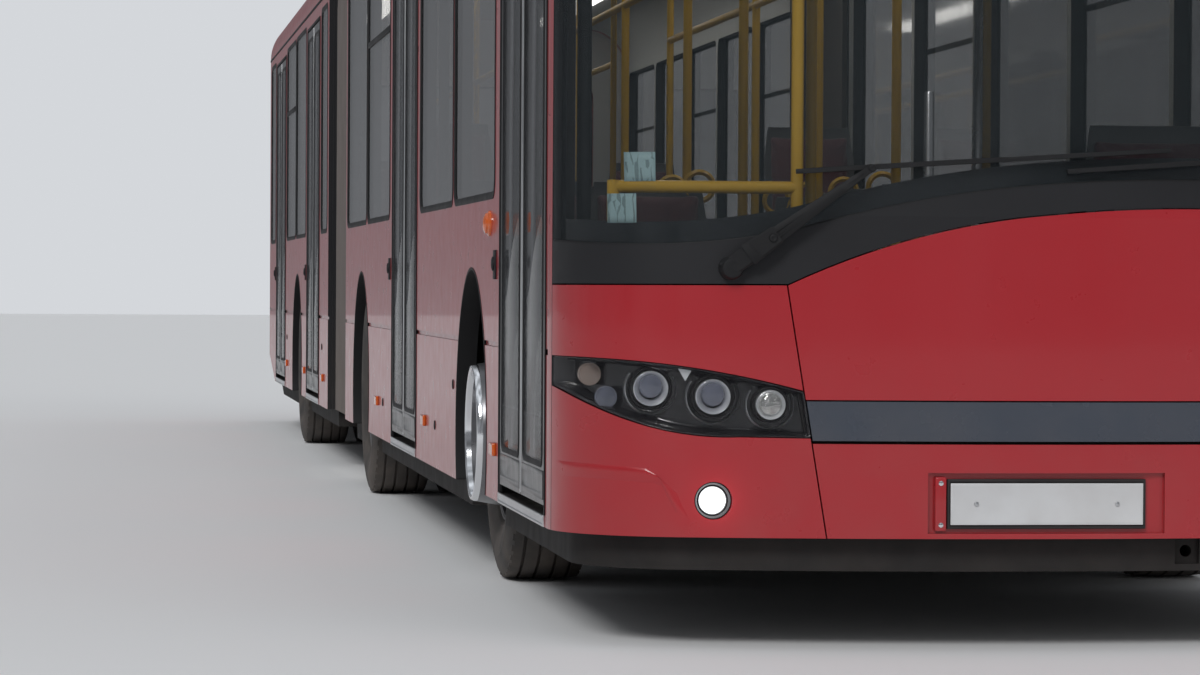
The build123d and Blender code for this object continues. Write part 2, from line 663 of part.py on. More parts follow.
add("front_floor", nose_floor - tow_face - tow_hole, (front_floor & deck_zone) + front_yoke + pivot_pin,
    front_floor & box_zone)

rear_floor_end = LENGTH - TAIL_RADIUS
rear_floor = block(-SIDE_X, SIDE_X, REAR_START, TAIL_LIFT_Y, UNDERSIDE_Z, FLOOR_Z)
tail_floor_end = LENGTH - WALL - SEAT_GAP
tail_floor = upright_plate(make_face(Polyline(
    (TAIL_LIFT_Y - 1, UNDERSIDE_Z), (TAIL_LIFT_Y - 1, FLOOR_Z + 200), (rear_floor_end, FLOOR_Z + 200),
    (rear_floor_end, TAIL_LIFT_Z - 50), close=True)), -SIDE_X, SIDE_X)
rear_floor = rear_floor + tail_floor
rear_floor = with_wheel_boxes(rear_floor, [(AXLE_3, TWIN_BOX_INNER)])
rear_floor = with_humps(rear_floor, AXLE_3)
platform = post(0, PIVOT, FLOOR_Z - PLATFORM_THICK, FLOOR_Z, PLATFORM_RADIUS)
rear_yoke = post(0, PIVOT, YOKE_TOP + SEAT_GAP, FLOOR_Z - PLATFORM_THICK, YOKE_RADIUS)
rear_yoke = rear_yoke + block(-YOKE_HALF, YOKE_HALF, PIVOT, REAR_START + 50, UNDERSIDE_Z, FLOOR_Z - 1)
pin_bore = post(0, PIVOT, YOKE_TOP - 5, FLOOR_Z - PLATFORM_THICK, PIN_RADIUS + PIN_GAP)
add("rear_floor", (rear_floor + platform + rear_yoke) - pin_bore)

# Bellows: an arch of pleats between the sections

BELLOWS_OUTLINE = [
    # x, z, drawn in by the pleat across, and downwards
    (1240.0, 300.0, 1.0, 0.0),
    (1240.0, 2470.0, 1.0, 0.0),
    (1185.0, 2640.0, 0.9, 0.5),
    (1010.0, 2760.0, 0.5, 0.9),
    (500.0, 2812.0, 0.0, 1.0),
]
BELLOWS_SKIN = 25.0


def bellows_section(y, fold, bottom_z):
    """A cross-section of the bellows arch, folded in by a depth."""
    left = [(x - fold * across, z - fold * down) for x, z, across, down in BELLOWS_OUTLINE]
    left[0] = (left[0][0], bottom_z)
    right = [(-x, z) for x, z in reversed(left)]
    face = make_face(Polyline(*left, *right, close=True))
    return Pos(0, y, 0) * (Plane.XZ * face)


def bellows_arch(fold_out, fold_in, y0, y1, bottom_z):
    """A ruled loft through alternating sections."""
    steps = 2 * PLEATS
    sections = []
    for step in range(steps + 1):
        fold = fold_out if step % 2 else fold_in
        sections.append(bellows_section(y0 + (y1 - y0) * step / steps, fold, bottom_z))
    return loft(sections, ruled=True)


bellows_outer = bellows_arch(0, PLEAT_DEPTH, FRONT_END + SEAT_GAP, REAR_START - SEAT_GAP, SKIRT_Z)
bellows_inner = bellows_arch(BELLOWS_SKIN, PLEAT_DEPTH + BELLOWS_SKIN, FRONT_END, REAR_START, SKIRT_Z - 50)
add("bellows", bellows_outer - bellows_inner)

# Wheels, axles and steering knuckles

TYRE_PROFILE = [
    # distance out from the tyre's middle, as a share of half its width, and radius
    (-0.78, RIM_RADIUS),
    (-1.0, 372.0),
    (-0.93, 440.0),
    (-0.74, TYRE_RADIUS),
    (0.74, TYRE_RADIUS),
    (0.93, 440.0),
    (1.0, 372.0),
    (0.78, RIM_RADIUS),
]
BARREL = 12.0
SPINDLE_RADIUS = 35.0
SPINDLE_GAP = 0.05
HUB_RADIUS = 85.0
TRIM_RING_RADIUS = 225.0


def turned(profile, x, y, side):
    """Turns a profile of (distance out, radius) points about a wheel's axis."""
    face = make_face(Polyline(*[(radius, out) for out, radius in profile], close=True))
    ring = revolve(Plane.XZ * face, Axis.Z, 360)
    return Pos(side * x, y, WHEEL_Z) * Rot(0, side * 90, 0) * ring


def tyre(x, y, side):
    half = TYRE_WIDTH / 2
    return turned([(share * half, radius) for share, radius in TYRE_PROFILE], x, y, side)


def front_rim(x, y, side):
    """A rim with its disc near the outer face, a trim ring and a hub."""
    outer = RIM_RADIUS - SEAT_GAP
    inner = outer - BARREL
    edge = 0.78 * TYRE_WIDTH / 2
    bore = SPINDLE_RADIUS + SPINDLE_GAP
    profile = [
        (-edge, inner), (-edge, outer), (edge, outer), (edge, inner), (70, inner), (58, TRIM_RING_RADIUS + 14),
        (78, TRIM_RING_RADIUS + 6), (78, TRIM_RING_RADIUS - 6), (58, TRIM_RING_RADIUS - 14),
        (72, HUB_RADIUS + 30), (110, HUB_RADIUS), (118, bore), (38, bore), (38, inner),
    ]
    return turned(profile, x, y, side)


def twin_rims(y, side):
    """Two rims joined at their discs, dished towards the outer face."""
    outer = RIM_RADIUS - SEAT_GAP
    inner = outer - BARREL
    edge = 0.78 * TYRE_WIDTH / 2
    bore = SPINDLE_RADIUS + SPINDLE_GAP
    profile = [
        (-TWIN_SPACING - edge, inner), (-TWIN_SPACING - edge, outer), (-TWIN_SPACING + edge, outer),
        (-TWIN_SPACING + edge, inner + 1), (-edge, inner + 1), (-edge, outer), (edge, outer), (edge, inner),
        (-60, inner), (-80, 200), (-80, 160), (60, 120), (60, bore), (-120, bore), (-120, 200), (-96, inner),
    ]
    return turned(profile, TWIN_OUTER_X, y, side)


FRONT_X = FRONT_TRACK / 2
for side, label in ((1, "left"), (-1, "right")):
    add("front_" + label + "_tyre", tyre(FRONT_X, AXLE_1, side))
    add("front_" + label + "_rim", front_rim(FRONT_X, AXLE_1, side))
    for axle, place in ((AXLE_2, "mid"), (AXLE_3, "rear")):
        add(place + "_" + label + "_tyres", tyre(TWIN_OUTER_X, axle, side),
            tyre(TWIN_OUTER_X - TWIN_SPACING, axle, side))
        add(place + "_" + label + "_rims", twin_rims(axle, side))

# The front axle drops under the floor between risers, and ends in an eye for each kingpin
KINGPIN_X = FRONT_X - KINGPIN_OFFSET
KINGPIN_RADIUS = 22.0
EYE_RADIUS = 40.0
EYE_HALF = 38.0
EAR_THICK = 40.0
EAR_GAP = 2.0
RISER_X = 570.0
RISER_WIDTH = 80.0
AXLE_HALF = 38.0
AXLE_BOTTOM = 120.0
AXLE_TOP = 200.0

front_axle = block(-RISER_X - RISER_WIDTH, RISER_X + RISER_WIDTH, AXLE_1 - AXLE_HALF, AXLE_1 + AXLE_HALF,
                   AXLE_BOTTOM, AXLE_TOP)
for side in (-1, 1):
    riser = block(side * RISER_X, side * (RISER_X + RISER_WIDTH), AXLE_1 - AXLE_HALF, AXLE_1 + AXLE_HALF,
                  AXLE_BOTTOM, WHEEL_Z + EYE_HALF)
    arm = block(side * RISER_X, side * KINGPIN_X, AXLE_1 - AXLE_HALF, AXLE_1 + AXLE_HALF,
                WHEEL_Z - EYE_HALF, WHEEL_Z + EYE_HALF)
    eye = post(side * KINGPIN_X, AXLE_1, WHEEL_Z - EYE_HALF, WHEEL_Z + EYE_HALF, EYE_RADIUS)
    front_axle = front_axle + riser + arm + eye
for side in (-1, 1):
    front_axle = front_axle - post(side * KINGPIN_X, AXLE_1, WHEEL_Z - 100, WHEEL_Z + 100,
                                   KINGPIN_RADIUS + PIN_GAP)
    spring_pad = block(side * 380, side * 520, AXLE_1 - AXLE_HALF, AXLE_1 + AXLE_HALF,
                       AXLE_TOP, UNDERSIDE_Z - SEAT_GAP)
    front_axle = front_axle + spring_pad
add("front_axle", front_axle)

EAR_OUT = EYE_RADIUS + 6.0
WEB_THICK = 26.0
for side, label in ((1, "left"), (-1, "right")):
    ear_low = WHEEL_Z - EYE_HALF - EAR_GAP - EAR_THICK
    ear_high = WHEEL_Z + EYE_HALF + EAR_GAP + EAR_THICK
    knuckle = post(side * KINGPIN_X, AXLE_1, ear_low, ear_low + EAR_THICK, EYE_RADIUS)
    knuckle = knuckle + post(side * KINGPIN_X, AXLE_1, ear_high - EAR_THICK, ear_high, EYE_RADIUS)
    web_x = KINGPIN_X + EAR_OUT
    for low, high in ((ear_low, ear_low + EAR_THICK), (ear_high - EAR_THICK, ear_high)):
        knuckle = knuckle + block(side * KINGPIN_X, side * web_x, AXLE_1 - EYE_RADIUS, AXLE_1 + EYE_RADIUS,
                                  low, high)
    knuckle = knuckle + block(side * web_x, side * (web_x + WEB_THICK), AXLE_1 - EYE_RADIUS,
                              AXLE_1 + EYE_RADIUS, ear_low, ear_high)
    knuckle = knuckle + post(side * KINGPIN_X, AXLE_1, ear_low, ear_high, KINGPIN_RADIUS)
    spindle_end = FRONT_X + 116
    knuckle = knuckle + cross_bar(side * web_x, side * spindle_end, AXLE_1, WHEEL_Z, SPINDLE_RADIUS)
    add(label + "_knuckle", knuckle)


def beam_axle(y):
    """A low beam axle with a spindle at each end."""
    beam = block(-560, 560, y - 60, y + 60, 130, 195)
    for side in (-1, 1):
        beam = beam + block(side * 400, side * 500, y - 60, y + 60, 130, UNDERSIDE_Z - SEAT_GAP)
        beam = beam + block(side * 550, side * 645, y - 60, y + 60, 130, WHEEL_Z + 60)
        beam = beam + cross_bar(side * 600, side * (TWIN_OUTER_X + 58), y, WHEEL_Z, SPINDLE_RADIUS)
    return beam


add("mid_axle", beam_axle(AXLE_2))
add("rear_axle", beam_axle(AXLE_3))

# Doors. Each leaf hangs at mid width on the arms of a turning post, with its leading edge guided.

POST_X = HALF - POST_DEPTH
POST_OUT = POST_SETBACK - JAMB_GAP
ARM_REACH = (DOOR_WIDTH / 2 - CENTRE_GAP / 2 - JAMB_GAP + POST_SETBACK) / 2
ARM_LOW_Z = FLOOR_Z + ARM_GAP
LEAF_LOW_Z = ARM_LOW_Z + ARM_THICK + ARM_GAP
LEAF_TOP_Z = DOOR_TOP_Z - 10.0
ARM_TOP_Z = LEAF_TOP_Z + ARM_GAP
CASING_LOW_Z = WINDOW_TOP_Z
CASING_TOP_Z = CANT_Z - SEAT_GAP
CASING_INNER_X = 1010.0
CASING_SPARE = 150.0
LEAF_FRAME = 55.0
KICK_HEIGHT = 240.0
BRACKET_THICK = 20.0
BRACKET_HALF = 18.0
LEAF_PIN_RADIUS = 8.0
LEAF_PIN_GAP = 0.05


def door_post(y, toward):
    """The turning post with an arm under the leaf and one over it."""
    tube = post(-POST_X, y, FLOOR_Z + SEAT_GAP, CASING_LOW_Z - SEAT_GAP, POST_RADIUS)
    pin_y = y + toward * ARM_REACH
    for low in (ARM_LOW_Z, ARM_TOP_Z):
        tube = tube + block(-POST_X - ARM_WIDTH / 2, -POST_X + ARM_WIDTH / 2, y, pin_y, low, low + ARM_THICK)
        tube = tube + post(-POST_X, pin_y, low, low + ARM_THICK, ARM_WIDTH / 2)
    return tube - post(-POST_X, pin_y, FLOOR_Z, CASING_LOW_Z, LEAF_PIN_RADIUS + LEAF_PIN_GAP)


def door_leaf(y, toward):
    """A leaf: its frame with kick panel and brackets, and the glass."""
    trail_y = y + toward * POST_SETBACK
    lead_y = y + toward * 2 * ARM_REACH
    pin_y = y + toward * ARM_REACH
    outer_x = -HALF
    frame = block(outer_x, outer_x + LEAF_THICK, trail_y, lead_y, LEAF_LOW_Z, LEAF_TOP_Z)
    light = side_face(min(trail_y, lead_y) + LEAF_FRAME, max(trail_y, lead_y) - LEAF_FRAME,
                      LEAF_LOW_Z + KICK_HEIGHT, LEAF_TOP_Z - LEAF_FRAME)
    light = fillet(light.vertices(), WINDOW_CORNER / 2)
    frame = frame - upright_plate(light, outer_x - 5, outer_x + LEAF_THICK + 5)
    glass = upright_plate(offset(light, -SEAT_GAP), outer_x + PANE_INSET, outer_x + PANE_INSET + PANE_THICK)
    for low in (LEAF_LOW_Z, LEAF_TOP_Z - BRACKET_THICK):
        frame = frame + block(outer_x + LEAF_THICK / 2, -POST_X, pin_y - BRACKET_HALF, pin_y + BRACKET_HALF,
                              low, low + BRACKET_THICK)
        frame = frame + post(-POST_X, pin_y, low, low + BRACKET_THICK, BRACKET_HALF)
    for low in (ARM_LOW_Z, LEAF_TOP_Z - 1):
        frame = frame + post(-POST_X, pin_y, low, low + ARM_THICK + ARM_GAP + 1, LEAF_PIN_RADIUS)
    return frame, glass


for wall, doors in (("front_right_wall", FRONT_DOORS), ("rear_right_wall", REAR_DOORS)):
    for name, start in doors:
        end = start + DOOR_WIDTH
        for label, y, toward in (("front", start - POST_OUT, 1), ("rear", end + POST_OUT, -1)):
            add(name + "_" + label + "_post", door_post(y, toward))
            add(name + "_" + label + "_leaf", *door_leaf(y, toward))
        casing = block(-HALF + WALL - 1, -CASING_INNER_X, max(start - CASING_SPARE, NOSE_DEPTH),
                       end + CASING_SPARE, CASING_LOW_Z, CASING_TOP_Z)
        parts[wall] = solids_of(parts[wall][0] + casing)

# Engine: a plain block upright on the driver's side, ahead of the second axle
ENGINE_INNER_X = TWIN_BOX_INNER + 20
ENGINE_START = AXLE_2 - 1680
ENGINE_END = AXLE_2 - 640
ENGINE_TOP = WHEEL_BOX_TOP + 30
add("engine", block(ENGINE_INNER_X, HALF - 85, ENGINE_START, ENGINE_END, FLOOR_Z + SEAT_GAP, ENGINE_TOP))

# Seats

SEAT_WIDTH = 440.0
CUSHION_DEPTH = 420.0
CUSHION_THICK = 70.0
CUSHION_RISE = 430.0
BACK_HEIGHT = 640.0
BACK_THICK = 60.0
BACK_LEAN = 10.0
LEG_HALF = 35.0
BOX_SEAT_Z = WHEEL_BOX_TOP + BOX_WALL + CUSHION_THICK + 30 - CUSHION_RISE
SEAT_PITCH = 760.0
ROW_DEPTH = 530.0
SEAT_CLEAR = 720.0
LEFT_PAIR_X = HALF - 95 - 2 * SEAT_WIDTH
RIGHT_PAIR_X = -HALF + 85
LEFT_BOX_X = HALF - 195 - SEAT_WIDTH
RIGHT_BOX_X = -HALF + 195


def seat_rows(x, start, end, pitch):
    """As many rows of two seats as fit in a length, from its start."""
    count = int((end - start - ROW_DEPTH) // pitch) + 1
    return [(x, start + place * pitch, 2, FLOOR_Z) for place in range(count)]


# Each row is its inner x, its start y, its places across and the height of the floor under it
FRONT_SEATS = (
    seat_rows(LEFT_PAIR_X, AXLE_1 + SEAT_CLEAR, ENGINE_START, SEAT_PITCH)
    + seat_rows(RIGHT_PAIR_X, AXLE_1 + SEAT_CLEAR, DOOR_2_START - DOOR_PILLAR, 690)
    + seat_rows(RIGHT_PAIR_X, DOOR_2_START + DOOR_WIDTH + 540, AXLE_2 - ARCH_RADIUS, 700)
    + [(LEFT_BOX_X, AXLE_2 - 200, 1, BOX_SEAT_Z), (RIGHT_BOX_X, AXLE_2 - 200, 1, BOX_SEAT_Z)]
)
REAR_SEATS = (
    seat_rows(LEFT_PAIR_X, REAR_START + 400, AXLE_3 - ARCH_RADIUS, SEAT_PITCH)
    + [(LEFT_BOX_X, AXLE_3 - 200, 1, BOX_SEAT_Z), (RIGHT_BOX_X, AXLE_3 - 200, 1, BOX_SEAT_Z)]
    + seat_rows(LEFT_PAIR_X, AXLE_3 + SEAT_CLEAR - 10, LENGTH - 900, SEAT_PITCH)
    + seat_rows(RIGHT_PAIR_X, AXLE_3 + 650, DOOR_4_START - 160, 690)
    + [(-2.5 * SEAT_WIDTH, LENGTH - 720, 5, FLOOR_Z + 200)]
)


def seat_row(x, y, count, floor_z):
    """A row of joined seats that face forwards, on legs."""
    width = SEAT_WIDTH * count
    cushion_z = floor_z + CUSHION_RISE
    cushion = block(x, x + width, y, y + CUSHION_DEPTH, cushion_z - CUSHION_THICK, cushion_z)
    back = Pos(x + width / 2, y + CUSHION_DEPTH, cushion_z + BACK_HEIGHT / 2 - 60) * (
        Rot(-BACK_LEAN, 0, 0) * Box(width, BACK_THICK, BACK_HEIGHT))
    row = cushion + back
    if floor_z <= FLOOR_Z + 200:
        for place in (0.2, 0.8):
            leg_x = x + width * place
            row = row + block(leg_x - LEG_HALF, leg_x + LEG_HALF, y + 120, y + CUSHION_DEPTH - 60,
                              floor_z + SEAT_GAP, cushion_z - CUSHION_THICK + 1)
    else:
        row = row + block(x + 40, x + width - 40, y + 60, y + CUSHION_DEPTH - 60,
                          WHEEL_BOX_TOP + BOX_WALL + SEAT_GAP, cushion_z - CUSHION_THICK + 1)
    return row


for row in FRONT_SEATS:
    add("front_seats", seat_row(*row))
for row in REAR_SEATS:
    add("rear_seats", seat_row(*row))

# Handrails: upright poles from floor to roof with a rail along the aisle, and the rail behind the windscreen

POLE_RADIUS = 17.0
RAIL_Z = 2150.0
RAIL_X = 270.0


def ceiling_z(x):
    """Height of the roof's inner face at a place across the bus."""
    shoulder_x = HALF - 255 - 0.35 * WALL
    rise = 70.0
    radius = (shoulder_x ** 2 + rise ** 2) / (2 * rise)
    return ROOF_TOP - WALL - radius + math.sqrt(radius ** 2 - x ** 2)


def pole(x, y):
    return post(x, y, FLOOR_Z + SEAT_GAP, ceiling_z(abs(x) + POLE_RADIUS) - SEAT_GAP, POLE_RADIUS)


def aisle_rail(side, y0, y1, poles):
    rail = long_bar(side * RAIL_X, y0, y1, RAIL_Z, POLE_RADIUS)
    for y in poles:
        rail = rail + pole(side * RAIL_X, y)
    return rail


FRONT_RAIL_END = FRONT_END - 350
REAR_RAIL_START = REAR_START + 300
REAR_RAIL_END = LENGTH - 1100
door_2_end = DOOR_2_START + DOOR_WIDTH
door_3_end = DOOR_3_START + DOOR_WIDTH
add("front_handrails",
    aisle_rail(1, 2000, FRONT_RAIL_END,
               [2000, AXLE_1 + 670, AXLE_1 + 2190, AXLE_2 - 1760, FRONT_RAIL_END]),
    aisle_rail(-1, 2080, FRONT_RAIL_END,
               [2080, AXLE_1 + 670, DOOR_2_START - 260, door_2_end + 300, FRONT_RAIL_END]))
add("rear_handrails",
    aisle_rail(1, REAR_RAIL_START, REAR_RAIL_END,
               [REAR_RAIL_START, REAR_START + 1870, AXLE_3 + 1420, REAR_RAIL_END]),
    aisle_rail(-1, REAR_RAIL_START, REAR_RAIL_END,
               [REAR_RAIL_START, door_3_end + 310, DOOR_4_START - 260, REAR_RAIL_END]))
GUARD_Y = 330.0
GUARD_X = 620.0
GUARD_Z = 1230.0
guard = post(-GUARD_X, GUARD_Y, FLOOR_Z + SEAT_GAP, 2420, POLE_RADIUS)
guard = guard + cross_bar(-1120, -GUARD_X, GUARD_Y, GUARD_Z, POLE_RADIUS)
guard = guard + post(-1120, GUARD_Y, FLOOR_Z + SEAT_GAP, GUARD_Z + POLE_RADIUS, POLE_RADIUS)
add("front_handrails", guard)

# Driver's place: dash with wheel and column, seat, door and screen behind

DASH_TOP = 1010.0
dash = nose_form(NOSE_SKIN + 45) & block(-350, HALF, 100, NOSE_DEPTH, FLOOR_Z + SEAT_GAP, DASH_TOP)
dash = dash + block(-350, HALF - NOSE_SKIN - 45, NOSE_DEPTH - 1, 620, FLOOR_Z + SEAT_GAP, DASH_TOP)
dash = dash - block(330, 1010, 440, 700, 0, 800)
column = Pos(670, 660, 940) * Rot(-35, 0, 0) * Cylinder(40, 460)
steering_wheel = Pos(670, 660, 940) * Rot(-35, 0, 0) * Pos(0, 0, 235) * (
    Torus(220, 16) + Box(430, 50, 20) + Cylinder(60, 30))
add("driver_cab", (dash + column + steering_wheel))
CAB_X = 190.0
CAB_BACK = 1700.0
screen = block(CAB_X, 1190, CAB_BACK, CAB_BACK + 30, FLOOR_Z + SEAT_GAP, 2050)
screen = screen + block(CAB_X, CAB_X + 30, 700, CAB_BACK + 1, FLOOR_Z + SEAT_GAP, 1250)
add("driver_cab", screen)
driver_seat = seat_row(450, 1000, 1, FLOOR_Z + 120)
driver_seat = driver_seat + block(470, 870, 1040, 1400, FLOOR_Z + SEAT_GAP, FLOOR_Z + 200)
add("front_seats", driver_seat)

# Mirrors: hung from the roof's front corners

MIRROR_Z = 2150.0
MIRROR_X = 1175.0
MIRROR_WIDTH = 170.0
MIRROR_HEIGHT = 400.0
for side in (-1, 1):
    head = Pos(side * MIRROR_X, -MIRROR_REACH + 60, MIRROR_Z) * Box(MIRROR_WIDTH, 120, MIRROR_HEIGHT)
    head = fillet(head.edges().filter_by(Axis.Z), 40)
    stem = post(side * MIRROR_X, -MIRROR_REACH + 60, MIRROR_Z + 150, 2740, 16)
    root = long_bar(side * MIRROR_X, -MIRROR_REACH + 60, 400, 2740, 16)
    root = root - nose_form(-SEAT_GAP)
    add("mirrors", head + stem + root)

os.makedirs("parts", exist_ok=True)
for name, solids in parts.items():
    placed = [Pos(0, NOSE_Y, 0) * solid for solid in solids]
    export_step(Compound(children=placed), "parts/" + name + ".step")
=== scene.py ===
# %% [markdown]
# # An articulated city bus, dressed in Blender
# The construction comes from the CAD frame: walls, glass, doors, wheels and joints stand where they are.
# This script gives every surface its finish and models what the CAD leaves plain: tyres with tread,
# upholstered seats, rubber seals, lamps, the pleated bellows and the small fittings.

# %% Load the frame
import json
import math

import bpy
import bmesh
from mathutils import Matrix, Quaternion, Vector


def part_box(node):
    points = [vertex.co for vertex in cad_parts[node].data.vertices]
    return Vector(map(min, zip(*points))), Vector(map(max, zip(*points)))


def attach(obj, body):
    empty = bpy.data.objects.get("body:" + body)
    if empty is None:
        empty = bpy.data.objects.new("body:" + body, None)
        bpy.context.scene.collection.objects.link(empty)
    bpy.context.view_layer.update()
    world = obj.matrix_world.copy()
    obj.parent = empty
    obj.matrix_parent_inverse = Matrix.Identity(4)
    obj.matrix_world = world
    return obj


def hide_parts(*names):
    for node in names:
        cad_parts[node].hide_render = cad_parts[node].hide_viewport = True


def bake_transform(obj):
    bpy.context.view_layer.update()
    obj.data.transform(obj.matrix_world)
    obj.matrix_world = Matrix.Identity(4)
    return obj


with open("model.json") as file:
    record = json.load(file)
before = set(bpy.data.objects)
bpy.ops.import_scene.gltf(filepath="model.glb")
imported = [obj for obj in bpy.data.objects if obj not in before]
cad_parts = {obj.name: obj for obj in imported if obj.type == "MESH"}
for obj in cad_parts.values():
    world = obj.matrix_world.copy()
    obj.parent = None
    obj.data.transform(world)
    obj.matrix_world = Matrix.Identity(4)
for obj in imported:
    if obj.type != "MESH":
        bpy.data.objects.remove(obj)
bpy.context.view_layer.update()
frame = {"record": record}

# %% [markdown]
# The bus stands with its nose towards -Y, its doors on -X and the road at Z 0. The places that many pieces
# share are worked out here once, so that the pieces stay with the CAD nodes.

# %% Places shared by many pieces
NOSE_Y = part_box("bumper")[0][1]
HALF_WIDTH = 1.275
FLOOR_Z = 0.33
FRONT, REAR = "front_section", "rear_section"
SIDES = ((-1, "right"), (1, "left"))
FORWARDS, UPWARDS = (0, -1, 0), (0, 0, 1)


def along(distance):
    """Turns a distance behind the nose into a Y place."""
    return NOSE_Y + distance


AXLES = [
    # place along the bus, name, section that carries it
    (along(2.75), "front", FRONT), (along(8.20), "mid", FRONT), (along(14.05), "rear", REAR),
]
TAIL_Y = along(18.0)
print("axles at", [round(axle[0], 3) for axle in AXLES])

# %% [markdown]
# Operators act on whatever is selected, and loading the frame leaves its nodes selected. Each helper below
# picks its own pieces first and hands back one finished object with its place in its mesh.

# %% Helpers for pieces


def pick(*pieces):
    """Selects these pieces alone, with the first of them active."""
    if bpy.context.object and bpy.context.object.mode != "OBJECT":
        bpy.ops.object.mode_set(mode="OBJECT")
    bpy.ops.object.select_all(action="DESELECT")
    for piece in reversed(pieces):
        piece.select_set(True)
        bpy.context.view_layer.objects.active = piece


def settle(piece):
    """Moves an object's place, turn and size into its mesh."""
    pick(piece)
    bpy.ops.object.transform_apply(location=True, rotation=True, scale=True)
    return piece


def named(name):
    piece = bpy.context.object
    piece.name = name
    piece.data.name = name
    return piece


def apply_modifier(piece, kind, **settings):
    """Adds a modifier, sets it and applies it at once."""
    pick(piece)
    modifier = piece.modifiers.new(kind.title(), kind)
    for key, value in settings.items():
        setattr(modifier, key, value)
    bpy.ops.object.modifier_apply(modifier=modifier.name)
    return piece


def smooth(piece, angle=35):
    pick(piece)
    bpy.ops.object.shade_smooth_by_angle(angle=math.radians(angle))
    return piece


def soften(piece, width, segments=2):
    """Rounds a piece's edges, as moulded or folded edges are."""
    apply_modifier(piece, "BEVEL", width=width, segments=segments, limit_method="ANGLE",
                   angle_limit=math.radians(35))
    return smooth(piece)


def shape_faces(piece, test, action):
    """Runs an edit-mode action on the faces whose normal passes a test."""
    pick(piece)
    bpy.ops.object.mode_set(mode="EDIT")
    bpy.ops.mesh.select_mode(type="FACE")
    mesh = bmesh.from_edit_mesh(piece.data)
    bpy.ops.mesh.select_all(action="DESELECT")
    for face in mesh.faces:
        face.select_set(test(face.normal))
    bmesh.update_edit_mesh(piece.data)
    action()
    bpy.ops.object.mode_set(mode="OBJECT")
    return piece


def edit_all(piece, *actions):
    """Runs edit-mode actions on the whole of a piece."""
    pick(piece)
    bpy.ops.object.mode_set(mode="EDIT")
    bpy.ops.mesh.select_all(action="SELECT")
    for action in actions:
        action()
    bpy.ops.object.mode_set(mode="OBJECT")
    return piece


def pressing(*steps):
    """An action that insets what is selected by (width, depth) steps."""
    def action():
        for width, depth in steps:
            bpy.ops.mesh.inset(thickness=width, depth=depth)
    return action


def looking(way):
    """A test for faces that look along an axis, such as "-X"."""
    axis, sign = "XYZ".index(way[1]), float(way[0] + "1")
    return lambda normal: normal[axis] * sign > 0.9


def slab(name, low, high, edge=0.0, segments=2, press=()):
    """A block between two corners with soft edges, whose one side may be inset by (width, depth) steps."""
    low, high = [min(a, b) for a, b in zip(low, high)], [max(a, b) for a, b in zip(low, high)]
    pick()
    bpy.ops.mesh.primitive_cube_add(size=1, location=[(a + b) / 2 for a, b in zip(low, high)])
    piece = named(name)
    piece.scale = [b - a for a, b in zip(low, high)]
    settle(piece)
    if press:
        shape_faces(piece, looking(press[0]), pressing(*press[1:]))
    return soften(piece, edge, segments) if edge else piece


def rod(name, start, end, radius, vertices=8):
    """A round bar between two points."""
    pick()
    run = end - start
    bpy.ops.mesh.primitive_cylinder_add(radius=radius, depth=run.length, vertices=vertices,
                                        location=(start + end) / 2)
    piece = named(name)
    piece.rotation_mode = "QUATERNION"
    piece.rotation_quaternion = run.to_track_quat("Z", "Y")
    return smooth(settle(piece))


def lathe(name, outline, centre=(0, 0, 0), facing=(1, 0, 0), steps=48, sweep=math.tau, start=0.0):
    """Spins an outline of (distance out, radius) points about an axis that faces a direction."""
    pick()
    start_out, start_radius = outline[0]
    bpy.ops.mesh.primitive_plane_add(size=0.001, location=(0, 0, 0))
    piece = named(name)
    bpy.ops.object.mode_set(mode="EDIT")
    bpy.ops.mesh.select_mode(type="VERT")
    bpy.ops.mesh.select_all(action="SELECT")
    bpy.ops.mesh.merge(type="CENTER")
    bpy.ops.transform.translate(value=(start_out, 0, start_radius))
    for (out, radius), (next_out, next_radius) in zip(outline, outline[1:]):
        bpy.ops.mesh.extrude_region_move(
            TRANSFORM_OT_translate={"value": (next_out - out, 0, next_radius - radius)})
    bpy.ops.mesh.select_all(action="SELECT")
    bpy.ops.mesh.spin(steps=steps, angle=sweep, center=(0, 0, 0), axis=(1, 0, 0))
    bpy.ops.mesh.select_all(action="SELECT")
    bpy.ops.mesh.remove_doubles(threshold=0.00005)
    bpy.ops.mesh.normals_make_consistent(inside=False)
    bpy.ops.object.mode_set(mode="OBJECT")
    piece.location = centre
    piece.rotation_mode = "QUATERNION"
    piece.rotation_quaternion = Vector(facing).to_track_quat("X", "Z") @ Quaternion((1, 0, 0), start)
    return smooth(settle(piece))


def join(pieces, name):
    """Joins pieces of one finish into one object."""
    pick(*pieces)
    if len(pieces) > 1:
        bpy.ops.object.join()
    return named(name)


def placed(master, place, turn=(0, 0, 0), name=None):
    """A copy with its own mesh, set in place."""
    piece = master.copy()
    piece.data = master.data.copy()
    if name:
        piece.name = name
        piece.data.name = name
    bpy.context.scene.collection.objects.link(piece)
    piece.location = place
    piece.rotation_mode = "XYZ"
    piece.rotation_euler = turn
    return settle(piece)


def ring_of(master, count):
    """Repeats a piece round the X axis and joins the copies."""
    turns = [(math.tau * number / count, 0, 0) for number in range(1, count)]
    return join([master] + [placed(master, (0, 0, 0), turn) for turn in turns], master.name)


def discard(*pieces):
    for piece in pieces:
        bpy.data.objects.remove(piece, do_unlink=True)


def dress(piece, body, material):
    """Gives a new piece its body and its material."""
    piece.data.materials.clear()
    piece.data.materials.append(material)
    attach(piece, body)
    return piece


def fitting(name, body, material, xs, ys, zs, edge=0.0, segments=2, press=()):
    """A dressed block, given by its two ends along each axis."""
    return dress(slab(name, *zip(xs, ys, zs), edge, segments, press), body, material)


